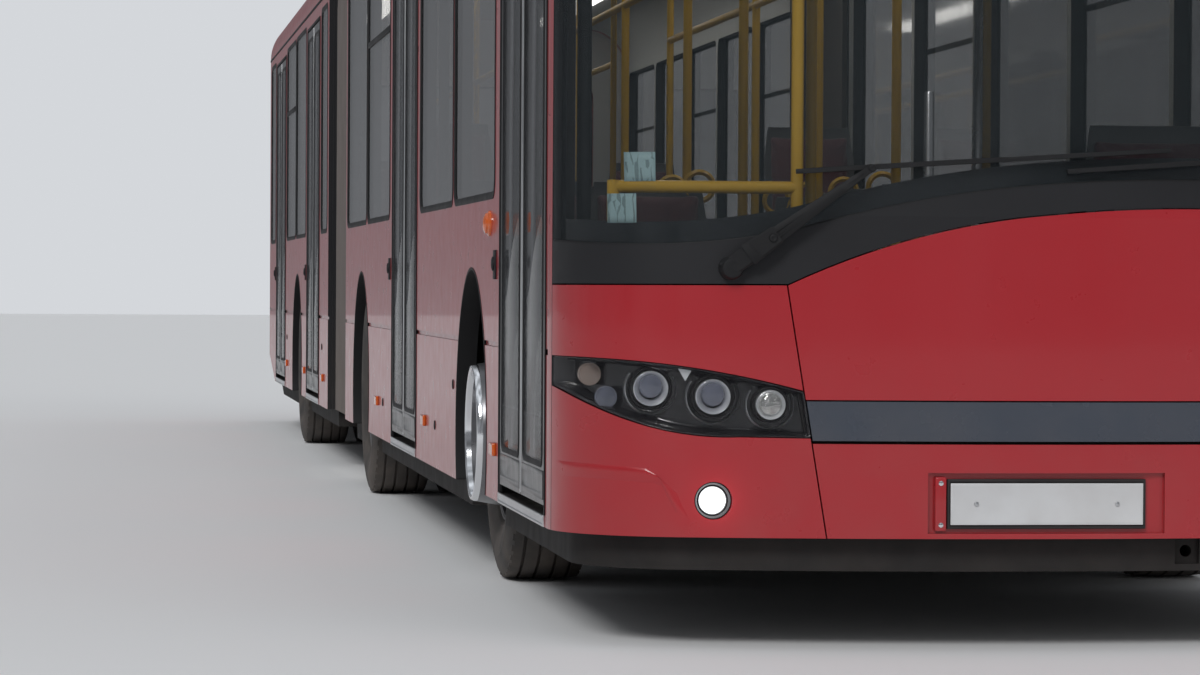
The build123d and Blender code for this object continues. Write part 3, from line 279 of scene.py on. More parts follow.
# %% [markdown]
# ## Materials
# Paint on a working bus is glossy with a slight ripple, and road dust gathers towards the skirt. Every
# material is built from nodes on Object coordinates, so that it stays put when the bus moves.

# %% Material helpers


def add_node(tree, kind, inputs, **settings):
    """Adds a node, each of whose inputs takes a value or another node's output."""
    node = tree.nodes.new("ShaderNode" + kind)
    for key, value in settings.items():
        setattr(node, key, value)
    for key, value in inputs.items():
        if isinstance(value, bpy.types.NodeSocket):
            tree.links.new(value, node.inputs[key])
        else:
            node.inputs[key].default_value = value
    return node


def blank_material(name, inputs):
    """A new material with some of its shader's inputs set."""
    material = bpy.data.materials.new(name)
    material.use_nodes = True
    tree = material.node_tree
    shader = tree.nodes["Principled BSDF"]
    for key, value in inputs.items():
        shader.inputs[key].default_value = value
    return material, tree, shader, add_node(tree, "TexCoord", {}).outputs["Object"]


def noise(tree, place, scale, detail=3.0, stretch=(1, 1, 1)):
    """A noise pattern, stretched along the axes where wanted."""
    spread = add_node(tree, "Mapping", {"Vector": place, "Scale": stretch}).outputs["Vector"]
    return add_node(tree, "TexNoise", {"Vector": spread, "Scale": scale, "Detail": detail}).outputs["Fac"]


def ranged(tree, value, low, high, start=0.0, end=1.0):
    """Maps a value onto a range."""
    return add_node(tree, "MapRange", {"Value": value, "From Min": start, "From Max": end, "To Min": low,
                                       "To Max": high}).outputs["Result"]


def mixed(tree, factor, first, second):
    """Mixes two colours, either of which may be a socket."""
    node = add_node(tree, "Mix", {"Factor": factor}, data_type="RGBA")
    sockets = [socket for socket in node.inputs if socket.type == "RGBA"]
    for socket, colour in zip(sockets, (first, second)):
        if isinstance(colour, bpy.types.NodeSocket):
            tree.links.new(colour, socket)
        else:
            socket.default_value = (*colour, 1.0)
    return [socket for socket in node.outputs if socket.type == "RGBA"][0]


def product(tree, first, second):
    return add_node(tree, "Math", {0: first, 1: second}, operation="MULTIPLY").outputs[0]


def bump(tree, shader, height, strength, distance):
    node = add_node(tree, "Bump", {"Height": height, "Strength": strength, "Distance": distance})
    tree.links.new(node.outputs["Normal"], shader.inputs["Normal"])


def height_of(tree, place):
    return add_node(tree, "SeparateXYZ", {"Vector": place}).outputs["Z"]


DUST = (0.21, 0.17, 0.14)


def finish_material(name, colour, roughness=0.4, metallic=0.0, coat=0.0, tone=0.15, tone_scale=3.0,
                    rough_spread=0.06, bump_scale=0.0, bump_depth=0.0, dust=0.0, dust_top=0.9, alpha=1.0,
                    stretch=(1, 1, 1), shine=0.5):
    """The common finish: a tone that wanders, roughness that varies, fine bump, and dust near the road."""
    material, tree, shader, place = blank_material(name, {
        "Metallic": metallic, "Specular IOR Level": shine, "Coat Weight": coat, "Coat Roughness": 0.04,
        "Alpha": alpha})
    dark, light = (tuple(min(1.0, value * share) for value in colour) for share in (1 - tone, 1 + tone))
    shade = mixed(tree, noise(tree, place, tone_scale, 4.0, stretch), dark, light)
    if dust:
        low = ranged(tree, height_of(tree, place), 1.0, 0.0, 0.2, dust_top)
        patches = ranged(tree, noise(tree, place, 7.0, 6.0), 0.2, 1.0, 0.3, 0.7)
        shade = mixed(tree, product(tree, product(tree, low, patches), dust), shade, DUST)
    tree.links.new(shade, shader.inputs["Base Color"])
    spread = ranged(tree, noise(tree, place, 11.0, 5.0), max(0.02, roughness - rough_spread),
                    min(1.0, roughness + rough_spread), 0.25, 0.75)
    tree.links.new(spread, shader.inputs["Roughness"])
    if bump_depth:
        bump(tree, shader, noise(tree, place, bump_scale, 3.0, stretch), 0.5, bump_depth)
    return material


# %% [markdown]
# The body is a deep red that looks brighter where the sky lights it. The list below is the bus's whole
# palette. Glass is a dark tint that lets some light through, because the cabin must show behind it.

# %% The palette
RED = (0.36, 0.008, 0.015)
red_paint = finish_material("red_paint", RED, roughness=0.30, coat=0.40, tone=0.05, tone_scale=1.5,
                            rough_spread=0.04, bump_scale=3.0, bump_depth=0.0012, dust=0.10)
roof_paint = finish_material("roof_paint", RED, roughness=0.34, coat=0.5, tone=0.08, bump_scale=2.0,
                             bump_depth=0.0012)
black_gloss = finish_material("black_gloss", (0.012, 0.012, 0.014), roughness=0.18, coat=0.3, tone=0.2,
                              bump_scale=60.0, bump_depth=0.0002, dust=0.04)
black_matte = finish_material("black_matte", (0.014, 0.014, 0.016), roughness=0.55, tone=0.25,
                              bump_scale=400.0, bump_depth=0.0004, dust=0.12, shine=0.3)
seal_rubber = finish_material("seal_rubber", (0.012, 0.012, 0.013), roughness=0.62, tone=0.3,
                              bump_scale=250.0, bump_depth=0.0003, shine=0.25)
strip_blue = finish_material("strip_blue", (0.030, 0.040, 0.060), roughness=0.25, coat=0.5, tone=0.1,
                             bump_scale=40.0, bump_depth=0.0002, dust=0.2)
screen_glass = finish_material("screen_glass", (0.030, 0.038, 0.042), roughness=0.04, tone=0.1,
                               rough_spread=0.02, alpha=0.24)
side_glass = finish_material("side_glass", (0.018, 0.022, 0.024), roughness=0.05, tone=0.1,
                             rough_spread=0.02, alpha=0.62)
clear_cover = finish_material("clear_cover", (0.03, 0.03, 0.035), roughness=0.04, tone=0.02,
                              rough_spread=0.02, alpha=0.10)
chrome = finish_material("chrome", (0.82, 0.83, 0.85), roughness=0.12, metallic=1.0, tone=0.04,
                         bump_scale=30.0, bump_depth=0.0002)
brushed = finish_material("brushed_aluminium", (0.62, 0.63, 0.64), roughness=0.32, metallic=1.0, tone=0.08,
                          bump_scale=200.0, bump_depth=0.0002, stretch=(1, 0.02, 1))
brushed_dark = finish_material("brushed_steel", (0.22, 0.22, 0.23), roughness=0.30, metallic=0.9, tone=0.15,
                               bump_scale=60.0, bump_depth=0.0002)
rim_steel = finish_material("rim_steel", (0.16, 0.16, 0.17), roughness=0.45, metallic=0.6, tone=0.2,
                            tone_scale=14.0, bump_scale=90.0, bump_depth=0.0004, dust=0.35, dust_top=1.2)
# Dark steel for the axles, the nose frame and the underbody. Its colour is darker than the steel's own, which
# paints in the deep shade under the bus.
axle_steel = finish_material("axle_steel", (0.022, 0.021, 0.021), roughness=0.7, metallic=0.2, tone=0.3,
                             tone_scale=12.0, bump_scale=120.0, bump_depth=0.0006, dust=0.06, shine=0.2)
tyre_rubber = finish_material("tyre_rubber", (0.022, 0.022, 0.023), roughness=0.75, tone=0.3,
                              tone_scale=10.0, bump_scale=160.0, bump_depth=0.0006, dust=0.45, dust_top=1.3)
floor_vinyl = finish_material("floor_vinyl", (0.10, 0.11, 0.125), roughness=0.55, tone=0.25,
                              tone_scale=180.0, bump_scale=300.0, bump_depth=0.0003)
liner = finish_material("cabin_liner", (0.42, 0.42, 0.41), roughness=0.6, tone=0.06, bump_scale=150.0,
                        bump_depth=0.0003)
dash_plastic = finish_material("dash_plastic", (0.035, 0.036, 0.040), roughness=0.6, tone=0.2,
                               bump_scale=350.0, bump_depth=0.0005)
handrail_yellow = finish_material("handrail_yellow", (0.72, 0.43, 0.03), roughness=0.35, coat=0.3,
                                  tone=0.08, bump_scale=40.0, bump_depth=0.0002)
pole_steel = finish_material("pole_steel", (0.60, 0.61, 0.62), roughness=0.25, metallic=0.9, tone=0.05)
orange_lens = finish_material("orange_lens", (0.62, 0.115, 0.014), roughness=0.15, coat=0.5, tone=0.1,
                              bump_scale=120.0, bump_depth=0.0006)
red_lens = finish_material("red_lens", (0.55, 0.012, 0.010), roughness=0.15, coat=0.5, tone=0.1,
                           bump_scale=120.0, bump_depth=0.0006)
clear_lens = finish_material("clear_lens", (0.80, 0.82, 0.84), roughness=0.08, coat=0.5, tone=0.05,
                             bump_scale=180.0, bump_depth=0.0008)
plate_grey = finish_material("plate_grey", (0.62, 0.63, 0.64), roughness=0.45, tone=0.06, bump_scale=20.0,
                             bump_depth=0.0004, dust=0.3)
mirror_glass = finish_material("mirror_glass", (0.75, 0.77, 0.78), roughness=0.04, metallic=1.0, tone=0.03)
bellows_cloth = finish_material("bellows_cloth", (0.150, 0.132, 0.124), roughness=0.8, tone=0.2,
                                tone_scale=5.0, bump_scale=500.0, bump_depth=0.0005, dust=0.3)
seat_shell = finish_material("seat_shell", (0.10, 0.10, 0.105), roughness=0.5, tone=0.12, bump_scale=300.0,
                             bump_depth=0.0003)
print("materials", len(bpy.data.materials))

# %% [markdown]
# ## Camera, floor and light
# The photograph was taken from low down on the kerb with a long lens, so the bus runs away from the camera
# with little change of size. The place and the turn below were fitted to corners seen in the photograph.

# %% The camera
camera_data = bpy.data.cameras.new("photo_camera")
camera = bpy.data.objects.new("photo_camera", camera_data)
bpy.context.scene.collection.objects.link(camera)
camera_data.sensor_width = 36.0
camera_data.lens = 121.6
camera_data.clip_end = 400.0
YAW, PITCH, ROLL = (math.radians(angle) for angle in (7.1563, 0.75596, 0.32809))
forward = Vector((math.sin(YAW) * math.cos(PITCH), math.cos(YAW) * math.cos(PITCH), -math.sin(PITCH)))
level_right = Vector((math.cos(YAW), -math.sin(YAW), 0.0))
level_up = level_right.cross(forward)
camera_right = level_right * math.cos(ROLL) + level_up * math.sin(ROLL)
camera_up = -level_right * math.sin(ROLL) + level_up * math.cos(ROLL)
turn = Matrix((camera_right, camera_up, -forward)).transposed()
camera.matrix_world = Matrix.Translation((-2.5097, -19.3905, 0.9671)) @ turn.to_4x4()
bpy.context.scene.camera = camera
bpy.context.scene.view_settings.view_transform = "Standard"
print("camera at", [round(value, 2) for value in camera.matrix_world.translation])

# %% [markdown]
# A large pale sheet stands in for the floor, so that the picture is clean while the bus keeps its shadow.

# %% The floor
pick()
bpy.ops.mesh.primitive_grid_add(x_subdivisions=8, y_subdivisions=8, size=160, location=(0, 20, 0))
floor = settle(named("studio_floor"))
floor_paint, tree, shader, place = blank_material("studio_floor", {
    "Base Color": (0.85, 0.85, 0.85, 1), "Roughness": 0.8})
bump(tree, shader, noise(tree, place, 60.0), 0.3, 0.001)
floor.data.materials.append(floor_paint)
print("floor faces", len(floor.data.polygons))

# %% [markdown]
# Soft light comes from a pale sky all round, with broad streaks that draw lines of light along the curves.
# A broad sun high on the camera's side gives the panels their shape, and a weak one lifts the shadows.

# %% The light
world = bpy.data.worlds.new("pale_sky")
bpy.context.scene.world = world
world.use_nodes = True
tree = world.node_tree
place = add_node(tree, "TexCoord", {}).outputs["Generated"]
ramp = add_node(tree, "ValToRGB", {"Fac": height_of(tree, place)})
for element, height, colour in zip(ramp.color_ramp.elements, (0.45, 0.85),
                                   ((0.30, 0.31, 0.33, 1), (0.86, 0.90, 0.95, 1))):
    element.position = height
    element.color = colour
streaks = ranged(tree, noise(tree, place, 1.0, 3.0, (3.6, 3.6, 1.3)), 0.34, 0.98, 0.42, 0.62)
sky = tree.nodes["Background"]
tree.links.new(ramp.outputs["Color"], sky.inputs["Color"])
tree.links.new(streaks, sky.inputs["Strength"])
backdrop = add_node(tree, "Background", {"Color": (0.66, 0.68, 0.71, 1), "Strength": 1.0})
camera_ray = add_node(tree, "LightPath", {}).outputs["Is Camera Ray"]
chosen = add_node(tree, "MixShader", {0: camera_ray, 1: sky.outputs[0], 2: backdrop.outputs[0]})
tree.links.new(chosen.outputs[0], tree.nodes["World Output"].inputs["Surface"])


def lamp(name, kind, energy, place, aim, spread=None):
    """Hangs one lamp at a place, aimed at a point. A sun takes a spread in degrees."""
    data = bpy.data.lights.new(name, kind)
    data.energy = energy
    if spread:
        data.angle = math.radians(spread)
    piece = bpy.data.objects.new(name, data)
    bpy.context.scene.collection.objects.link(piece)
    piece.location = place
    piece.rotation_mode = "QUATERNION"
    piece.rotation_quaternion = (Vector(aim) - Vector(place)).to_track_quat("-Z", "Y")
    return piece


lamp("high_sun", "SUN", 1.35, (-9, -16, 15), (0, 0, 1), spread=18)
lamp("low_fill", "SUN", 0.5, (6, -20, 4), (0, -9, 1), spread=40).visible_glossy = False
print("lamps", len(bpy.data.lights))

# %% [markdown]
# ## Finishes on the construction
# Each CAD node that stays visible gets a finish by its record slot. Floors, walls, roofs and the driver's
# cab have faces of two or three finishes, told apart by where they are and which way they look.

# %% Finishes by slot
SLOT_FINISH = {
    "red_paint": red_paint, "roof_paint": roof_paint, "black_plastic": black_matte,
    "screen_glass": screen_glass, "side_glass": side_glass, "door_leaf": black_gloss,
    "door_post": black_matte, "lamp": black_gloss, "tail_lamp": red_lens, "floor": floor_vinyl,
    "bellows": bellows_cloth, "tyre": tyre_rubber, "rim": rim_steel, "steel": axle_steel,
    "seat": seat_shell, "handrail": handrail_yellow, "dash": dash_plastic,
}


def finish_faces(name, finishes, choose):
    """Gives each face of a CAD node one of several finishes, chosen from its normal and its place."""
    mesh = bpy.data.objects[name].data
    mesh.materials.clear()
    for finish in finishes:
        mesh.materials.append(finish)
    for face in mesh.polygons:
        face.material_index = choose(face.normal, *face.center)


def floor_face(normal, x, y, z):
    """Vinyl where people walk and on the cabin side of the wheel boxes, and elsewhere the darkened steel,
    whose colour paints in the shade under the floor and inside the wheel arches.
    """
    axle = min((axle[0] for axle in AXLES), key=lambda place: abs(place - y))
    walked_on = normal.z > 0.9 and z > FLOOR_Z - 0.01
    towards_wheel = normal.x * x > 0.2 or normal.z < -0.1 or normal.y * (axle - y) > 0.02
    return 0 if walked_on or z > FLOOR_Z + 0.01 and not towards_wheel else 1


def wall_face(normal, x, y, z):
    """Liner inside, black in the window and door openings, and paint outside."""
    if normal.x * x < -0.5 and abs(x) < HALF_WIDTH - 0.02:
        return 1
    return 2 if abs(normal.x) < 0.1 else 0


CAB_SCREEN_Y = along(1.715)
for part in frame["record"]["subparts"]:
    finish_faces(part["node"], [SLOT_FINISH[part["material_slot"]]], lambda normal, x, y, z: 0)
finish_faces("nose_frame", [axle_steel], lambda normal, x, y, z: 0)
finish_faces("engine", [liner], lambda normal, x, y, z: 0)
cab_screen, tree, shader, place = blank_material("cab_screen", {
    "Base Color": (0.035, 0.036, 0.040, 1), "Roughness": 0.12})
tree.links.new(ranged(tree, height_of(tree, place), 1.0, 0.22, 1.245, 1.255), shader.inputs["Alpha"])
finish_faces("driver_cab", [bpy.data.objects["driver_cab"].data.materials[0], cab_screen],
             lambda normal, x, y, z: int(abs(y - CAB_SCREEN_Y) < 0.018 and abs(normal.y) > 0.9))
finish_faces("tail_panel", [red_paint, liner], lambda normal, x, y, z: int(normal.y < -0.5))
for part in ("front", "rear"):
    finish_faces(part + "_floor", [floor_vinyl, axle_steel], floor_face)
    finish_faces(part + "_roof", [roof_paint, liner],
                 lambda normal, x, y, z: int(normal.x * x + normal.z * (z - 1.5) < 0))
    for side, label in SIDES:
        finish_faces("%s_%s_wall" % (part, label), [red_paint, liner, black_matte], wall_face)

# %% [markdown]
# ## The nose's own curve
# Lamps, seals and trim lie on the bowed nose. The functions below give the same curve that the CAD panels
# have, so that a strip laid on it stays on it all the way round the corner.

# %% A point on the nose
NOSE_CORNER_Y = 0.5
LEAN_START = 1.15
LEAN_RUN = 1.73


def nose_shape(z):
    """Lean, corner radius, bow radius and half-angle of the nose at one height."""
    rise = max(0.0, (z - LEAN_START) / LEAN_RUN)
    lean = 0.165 * rise
    corner = 0.40 - 0.15 * rise
    reach = NOSE_CORNER_Y - lean
    middle = HALF_WIDTH - corner
    bow = (middle ** 2 + reach ** 2 - corner ** 2) / (2 * (reach - corner))
    return lean, corner, bow, math.atan2(middle, lean + bow - NOSE_CORNER_Y)


def nose_point(across, z, inset=0.0):
    """The point reached by going along the nose from its middle, at one height."""
    lean, corner, bow, slope = nose_shape(z)
    run = abs(across)
    if run <= bow * slope:
        angle = run / bow
        x = (bow - inset) * math.sin(angle)
        y = lean + bow - (bow - inset) * math.cos(angle)
    else:
        angle = slope + (run - bow * slope) / corner
        spare = max(0.0, angle - math.pi / 2) * corner
        angle = min(angle, math.pi / 2)
        x = HALF_WIDTH - corner + (corner - inset) * math.sin(angle)
        y = NOSE_CORNER_Y - (corner - inset) * math.cos(angle) + spare
    return Vector((math.copysign(x, across), NOSE_Y + y, z))


def nose_run(x, z=0.5):
    """How far along the nose a place across the bus is."""
    lean, corner, bow, slope = nose_shape(z)
    if abs(x) <= bow * math.sin(slope):
        return math.copysign(bow * math.asin(abs(x) / bow), x)
    share = min(1.0, (abs(x) - HALF_WIDTH + corner) / corner)
    return math.copysign(bow * slope + corner * (math.asin(share) - slope), x)


def nose_y(x, z=0.5):
    return nose_point(nose_run(x, z), z).y


def arc_height(x, first, middle, last):
    """Height of the circle through three points of the front view, at one place across."""
    (ax, az), (bx, bz), (cx, cz) = first, middle, last
    twice = 2 * (ax * (bz - cz) + bx * (cz - az) + cx * (az - bz))
    a2, b2, c2 = ax * ax + az * az, bx * bx + bz * bz, cx * cx + cz * cz
    centre_x = (a2 * (bz - cz) + b2 * (cz - az) + c2 * (az - bz)) / twice
    centre_z = (a2 * (cx - bx) + b2 * (ax - cx) + c2 * (bx - ax)) / twice
    radius = math.hypot(ax - centre_x, az - centre_z)
    height = math.sqrt(max(0.0, radius ** 2 - (x - centre_x) ** 2))
    return centre_z + height if bz > centre_z else centre_z - height


def laid_grid(name, columns, rows, place):
    """A grid whose every point is laid by a function of its two shares, from 0 to 1."""
    pick()
    bpy.ops.mesh.primitive_grid_add(x_subdivisions=columns, y_subdivisions=rows, size=1, location=(0, 0, 0))
    piece = named(name)
    for vertex in piece.data.vertices:
        vertex.co = place(vertex.co.x + 0.5, vertex.co.y + 0.5)
    return piece


def turned(piece, outwards):
    """Flips a sheet's faces if most of them look away from a direction."""
    if sum(face.normal.dot(outwards) * face.area for face in piece.data.polygons) < 0:
        edit_all(piece, bpy.ops.mesh.flip_normals)
    return piece


def nose_sheet(name, columns, rows, place, finish, body_slot="black_plastic", angle=60, **wall):
    """A ribbon laid on the nose, looking forwards, with a wall where one is asked for."""
    sheet = smooth(turned(laid_grid(name, columns, rows, place), Vector((0, -1, 0))), angle)
    if wall:
        apply_modifier(sheet, "SOLIDIFY", **wall)
    return dress(sheet, FRONT, finish)


def blend_between(low, high, share):
    return low + (high - low) * share


print("nose at the lamp", [round(value, 3) for value in nose_point(nose_run(-1.0), 0.7)])

# %% [markdown]
# ## Headlamps
# The lamp unit is an almond of clear plastic over a dark tray. Three large lamps and two small ones stand
# in the tray, each a glass dome in a bright ring. The tray and the cover are one grid laid twice between
# the same two edge curves, and the lamps are turned outlines, as on a lathe.

# %% Headlamp outline
LAMP_END_RUN = nose_run(HALF_WIDTH) - 0.06
LAMP_LOW_Z, LAMP_TOP_Z = 0.568, 0.683
TRAY_DEPTH = 0.060
TRAY_EDGE = 0.004


def seam_x(z):
    """The slanting seam between the flap and the corner panels."""
    return blend_between(0.583, 0.689, (z - 0.300) / 0.664)


def lamp_top(x):
    return arc_height(x, (seam_x(0.684) + 0.004, 0.684), (0.960, 0.748), (1.295, 0.770))


def lamp_foot(x):
    if x < 0.812:
        return blend_between(0.567, 0.569, (x - 0.64) / 0.172)
    return arc_height(x, (1.295, 0.712), (1.120, 0.618), (0.812, 0.569))


def lamp_place(side, inset_at):
    """Lays a grid inside the lamp's outline, sunk by a function of the two shares."""
    def place(u, v):
        seam = nose_run(seam_x(blend_between(LAMP_LOW_Z, LAMP_TOP_Z, v)) + 0.004)
        run = blend_between(seam, LAMP_END_RUN, u)
        x = nose_point(run, 0.6).x
        return nose_point(side * run, blend_between(lamp_foot(x), lamp_top(x), v), inset_at(u, v))
    return place


def tray_inset(u, v):
    """Steep walls at the rim of the tray and a level bottom."""
    near = min(u * 0.62, (1 - u) * 0.62, v * 0.12, (1 - v) * 0.12)
    return TRAY_EDGE + (TRAY_DEPTH - TRAY_EDGE) * min(1.0, near / 0.010)


print("headlamp height in its middle", round(lamp_top(0.96) - lamp_foot(0.96), 3))

# %% [markdown]
# Each large lamp is four turned shapes: a glass dome, the bright ring round it, a dark socket behind it,
# and a cup of bare metal that is open at the top. They could be cut from spheres and tubes, but a turned
# outline gives every one of them a lip of its own.

# %% Headlamp trays, covers and lamps
LAMPS = [
    # x, z, radius, cup radius
    (1.185, 0.726, 0.031, 0.0),
    (1.147, 0.666, 0.030, 0.0),
    (1.038, 0.691, 0.046, 0.066),
    (0.880, 0.671, 0.046, 0.068),
    (0.731, 0.651, 0.039, 0.062),
]
WEDGE_X, WEDGE_Z = 0.950, 0.734
lamp_amber = finish_material("lamp_amber_grey", (0.26, 0.20, 0.17), roughness=0.12, coat=0.6, tone=0.1)
lamp_glass = finish_material("lamp_glass", (0.12, 0.13, 0.17), roughness=0.06, coat=0.8, tone=0.45,
                             tone_scale=26.0)
lamp_ring = finish_material("lamp_ring", (0.92, 0.94, 0.97), roughness=0.36, metallic=0.75, coat=0.5,
                            tone=0.04)
star_glass = finish_material("star_glass", (0.62, 0.62, 0.60), roughness=0.10, metallic=0.9, coat=0.8,
                             tone=0.5, tone_scale=60.0, bump_scale=70.0, bump_depth=0.010)


def small_lamp(name, radius, centre, finish):
    dome = lathe(name + "_glass", [
        (-0.030, radius), (-0.001, radius), (0.0005, radius * 0.97), (0.0005, radius * 0.90),
        (-0.0015, radius * 0.86), (-0.0005, radius * 0.50), (0.0, 0.0)], centre, FORWARDS)
    dress(dome, FRONT, finish)


def large_lamp(name, radius, cup, centre, share, finish):
    """A dome, whose radius is a share of the lamp's, in a bright ring, a dark socket and an open cup."""
    x, y, z = centre
    outlines = (
        ("ring", centre, lamp_ring, 64, [
            (-0.046, radius * 1.00), (0.002, radius * 1.02), (0.004, radius * 0.99), (0.002, radius * 0.95),
            (-0.008, radius * 0.68), (-0.014, radius * 0.64)]),
        ("glass", (x, y, z + radius * (0.95 - share) * 0.5), finish, 64, [
            (-0.018, radius * share), (-0.002, radius * share * 0.98), (0.003, radius * share * 0.90),
            (0.006, radius * 0.42), (0.007, 0.0)]),
        ("socket", centre, black_matte, 64, [
            (-0.034, radius * 1.02), (-0.010, radius * 1.10), (-0.006, radius * 1.20),
            (-0.008, radius * 1.24), (-0.040, radius * 1.26)]),
        ("cup", centre, brushed, 40, [
            (-0.034, cup * 0.99), (-0.010, cup), (-0.0085, cup + 0.0013), (-0.010, cup + 0.0030),
            (-0.034, cup + 0.0034)]),
    )
    for kind, middle, material, steps, outline in outlines:
        opening = {"sweep": math.radians(244), "start": math.radians(-62)} if kind == "cup" else {}
        dress(lathe(name + "_" + kind, outline, middle, FORWARDS, steps, **opening), FRONT, material)


for side, label in SIDES:
    nose_sheet(label + "_headlamp_tray", 90, 26, lamp_place(side, tray_inset), black_gloss, "lamp", 50,
               thickness=0.002, offset=-1)
    nose_sheet(label + "_headlamp_cover", 70, 8, lamp_place(side, lambda u, v: 0.0015), clear_cover, "lamp",
               thickness=0.002, offset=-1)
    for number, (x, z, radius, cup) in enumerate(LAMPS):
        name = "%s_lamp_%d" % (label, number)
        centre = (side * x, nose_y(x + radius, z) + 0.006, z)
        if cup:
            last = number == len(LAMPS) - 1
            large_lamp(name, radius, cup, centre, 0.80 if last else 0.69, star_glass if last else lamp_glass)
        else:
            small_lamp(name, radius, centre, lamp_glass if number else lamp_amber)
    pick()
    bpy.ops.mesh.primitive_cylinder_add(
        vertices=3, radius=0.023, depth=0.004, rotation=(math.radians(-90), 0, math.radians(side * 5)),
        location=(side * WEDGE_X, nose_y(WEDGE_X, WEDGE_Z) + 0.030, WEDGE_Z))
    dress(soften(settle(named(label + "_lamp_wedge")), 0.0012), FRONT, lamp_ring)
print("headlamps", len(LAMPS) * 2, "lamps")
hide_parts("headlamps")

# %% [markdown]
# The fog lamp stands in a round well of the bumper. It is switched on, so its glass gives off light of its
# own, and a plain dark ring with a rounded lip fills the well around it.

# %% Fog lamps
FOG_X, FOG_Z = 0.879, 0.397
lit_glass, tree, shader, place = blank_material("fog_lamp_lit", {
    "Base Color": (0.9, 0.92, 0.95, 1), "Roughness": 0.1, "Emission Strength": 1.3})
ribs = ranged(tree, noise(tree, place, 130.0), 0.55, 1.0, 0.35, 0.65)
tree.links.new(mixed(tree, ribs, (0.55, 0.63, 0.72), (1.0, 1.0, 1.0)), shader.inputs["Emission Color"])
FOG_OUTLINES = {
    "collar": (black_gloss, 64, [(-0.020, 0.0485), (-0.002, 0.0500), (0.001, 0.0485), (0.001, 0.0465),
                                 (-0.008, 0.0400), (-0.010, 0.0385), (-0.020, 0.0380)]),
    "rim": (black_gloss, 64, [(-0.018, 0.0380), (-0.009, 0.0392), (-0.007, 0.0375), (-0.012, 0.0360)]),
    "glass": (lit_glass, 48, [(-0.016, 0.0375), (-0.010, 0.0350), (-0.007, 0.025), (-0.0055, 0.012),
                              (-0.005, 0.0)]),
}
fog_y = nose_y(FOG_X + 0.045) + 0.004
for side, label in SIDES:
    for kind, (finish, steps, outline) in FOG_OUTLINES.items():
        piece = lathe("%s_fog_%s" % (label, kind), outline, (side * FOG_X, fog_y, FOG_Z), FORWARDS, steps)
        dress(piece, FRONT, finish)
    glow = lamp(label + "_fog_glow", "POINT", 0.10, (side * FOG_X, fog_y - 0.045, FOG_Z), (0, -9, 0.4))
    glow.data.shadow_soft_size = 0.03
    glow.visible_camera = False
    glow.visible_glossy = False
print("fog lamps at", round(fog_y, 3))

# %% [markdown]
# ## Number plate and the trim strip
# The plate is a plain pressed sheet with a rolled rim in a black holder. It stays blank. The dark strip
# between the headlamps is a CAD piece, so it only needs its blue-grey finish.

# %% Plate and holder
PLATE_Z = 0.392
PLATE_Y = NOSE_Y + 0.010
PLATE_WIDTH, PLATE_HEIGHT = 0.520, 0.110
HOLDER_BACK_Y = NOSE_Y + 0.0258


def plate(name, y, z, body, way):
    """A blank number plate with a raised rim, looking forwards or back."""
    half, rise = PLATE_WIDTH / 2, PLATE_HEIGHT / 2
    piece = slab(name, (-half, y - 0.0015, z - rise), (half, y + 0.0015, z + rise), 0.0008,
                 press=(way, (0.006, 0.0), (0.003, -0.0012)))
    dress(piece, body, plate_grey)


def plate_holder(name, y0, y1, z, body, way):
    piece = slab(name, (-0.268, y0, z - 0.066), (0.268, y1, z + 0.066), 0.002,
                 press=(way, (0.007, 0.0), (0.002, -0.003)))
    dress(piece, body, black_matte)


plate_holder("front_plate_holder", PLATE_Y + 0.0018, HOLDER_BACK_Y, PLATE_Z, FRONT, "-Y")
plate("front_plate", PLATE_Y - 0.001, PLATE_Z, FRONT, "-Y")
clip = slab("front_plate_end", (-0.302, PLATE_Y - 0.004, PLATE_Z - 0.072),
            (-0.271, HOLDER_BACK_Y, PLATE_Z + 0.072), 0.005, 3)
dress(clip, FRONT, red_paint)
SMALL_HEAD = [(0.0, 0.0065), (0.0015, 0.006), (0.0025, 0.003), (0.0025, 0.0)]
LARGE_HEAD = [(0.0, 0.007), (0.002, 0.0065), (0.0035, 0.003), (0.0035, 0.0)]
for x in (-0.19, 0.19):
    screw = lathe("front_plate_screw", SMALL_HEAD, (x, PLATE_Y - 0.0025, PLATE_Z), FORWARDS, 16)
    dress(screw, FRONT, brushed)
for rise in (-0.055, 0.055):
    screw = lathe("front_plate_end_screw", LARGE_HEAD, (-0.2865, PLATE_Y - 0.004, PLATE_Z + rise), FORWARDS,
                  16)
    dress(screw, FRONT, chrome)
finish_faces("black_trim", [black_matte, strip_blue], lambda normal, x, y, z: int(z < 0.70))
print("plate centre", PLATE_Z)

# %% [markdown]
# Along the foot of the windscreen the glass carries a dark printed band, and the edge of the glass has a
# rubber seal. Both follow the same sweeping line as the cowl, so they are ribbons laid along it.

# %% Windscreen band and seals
GLASS_ARCS = [
    ((-1.295, 1.085), (-0.960, 1.074), (-0.659, 1.115)),
    ((-0.659, 1.115), (-0.330, 1.192), (0.0, 1.234)),
    ((0.0, 1.234), (0.210, 1.246), (0.420, 1.249)),
    ((0.420, 1.249), (0.880, 1.232), (1.295, 1.168)),
]
SIDE_RUN = nose_run(HALF_WIDTH, 1.1) - 0.058
BAND_INSET = 0.0235


def glass_foot(x):
    """Height of the windscreen's lower edge at a place across the bus."""
    for arc in GLASS_ARCS:
        if x <= arc[2][0]:
            return arc_height(x, *arc)
    return arc_height(x, *GLASS_ARCS[-1])


def foot_band(height, inset, sink=0.0):
    """Lays a ribbon above the foot of the windscreen."""
    def place(u, v):
        run = blend_between(-SIDE_RUN, SIDE_RUN, u)
        return nose_point(run, glass_foot(nose_point(run, 1.15).x) + sink + height * v, inset)
    return place


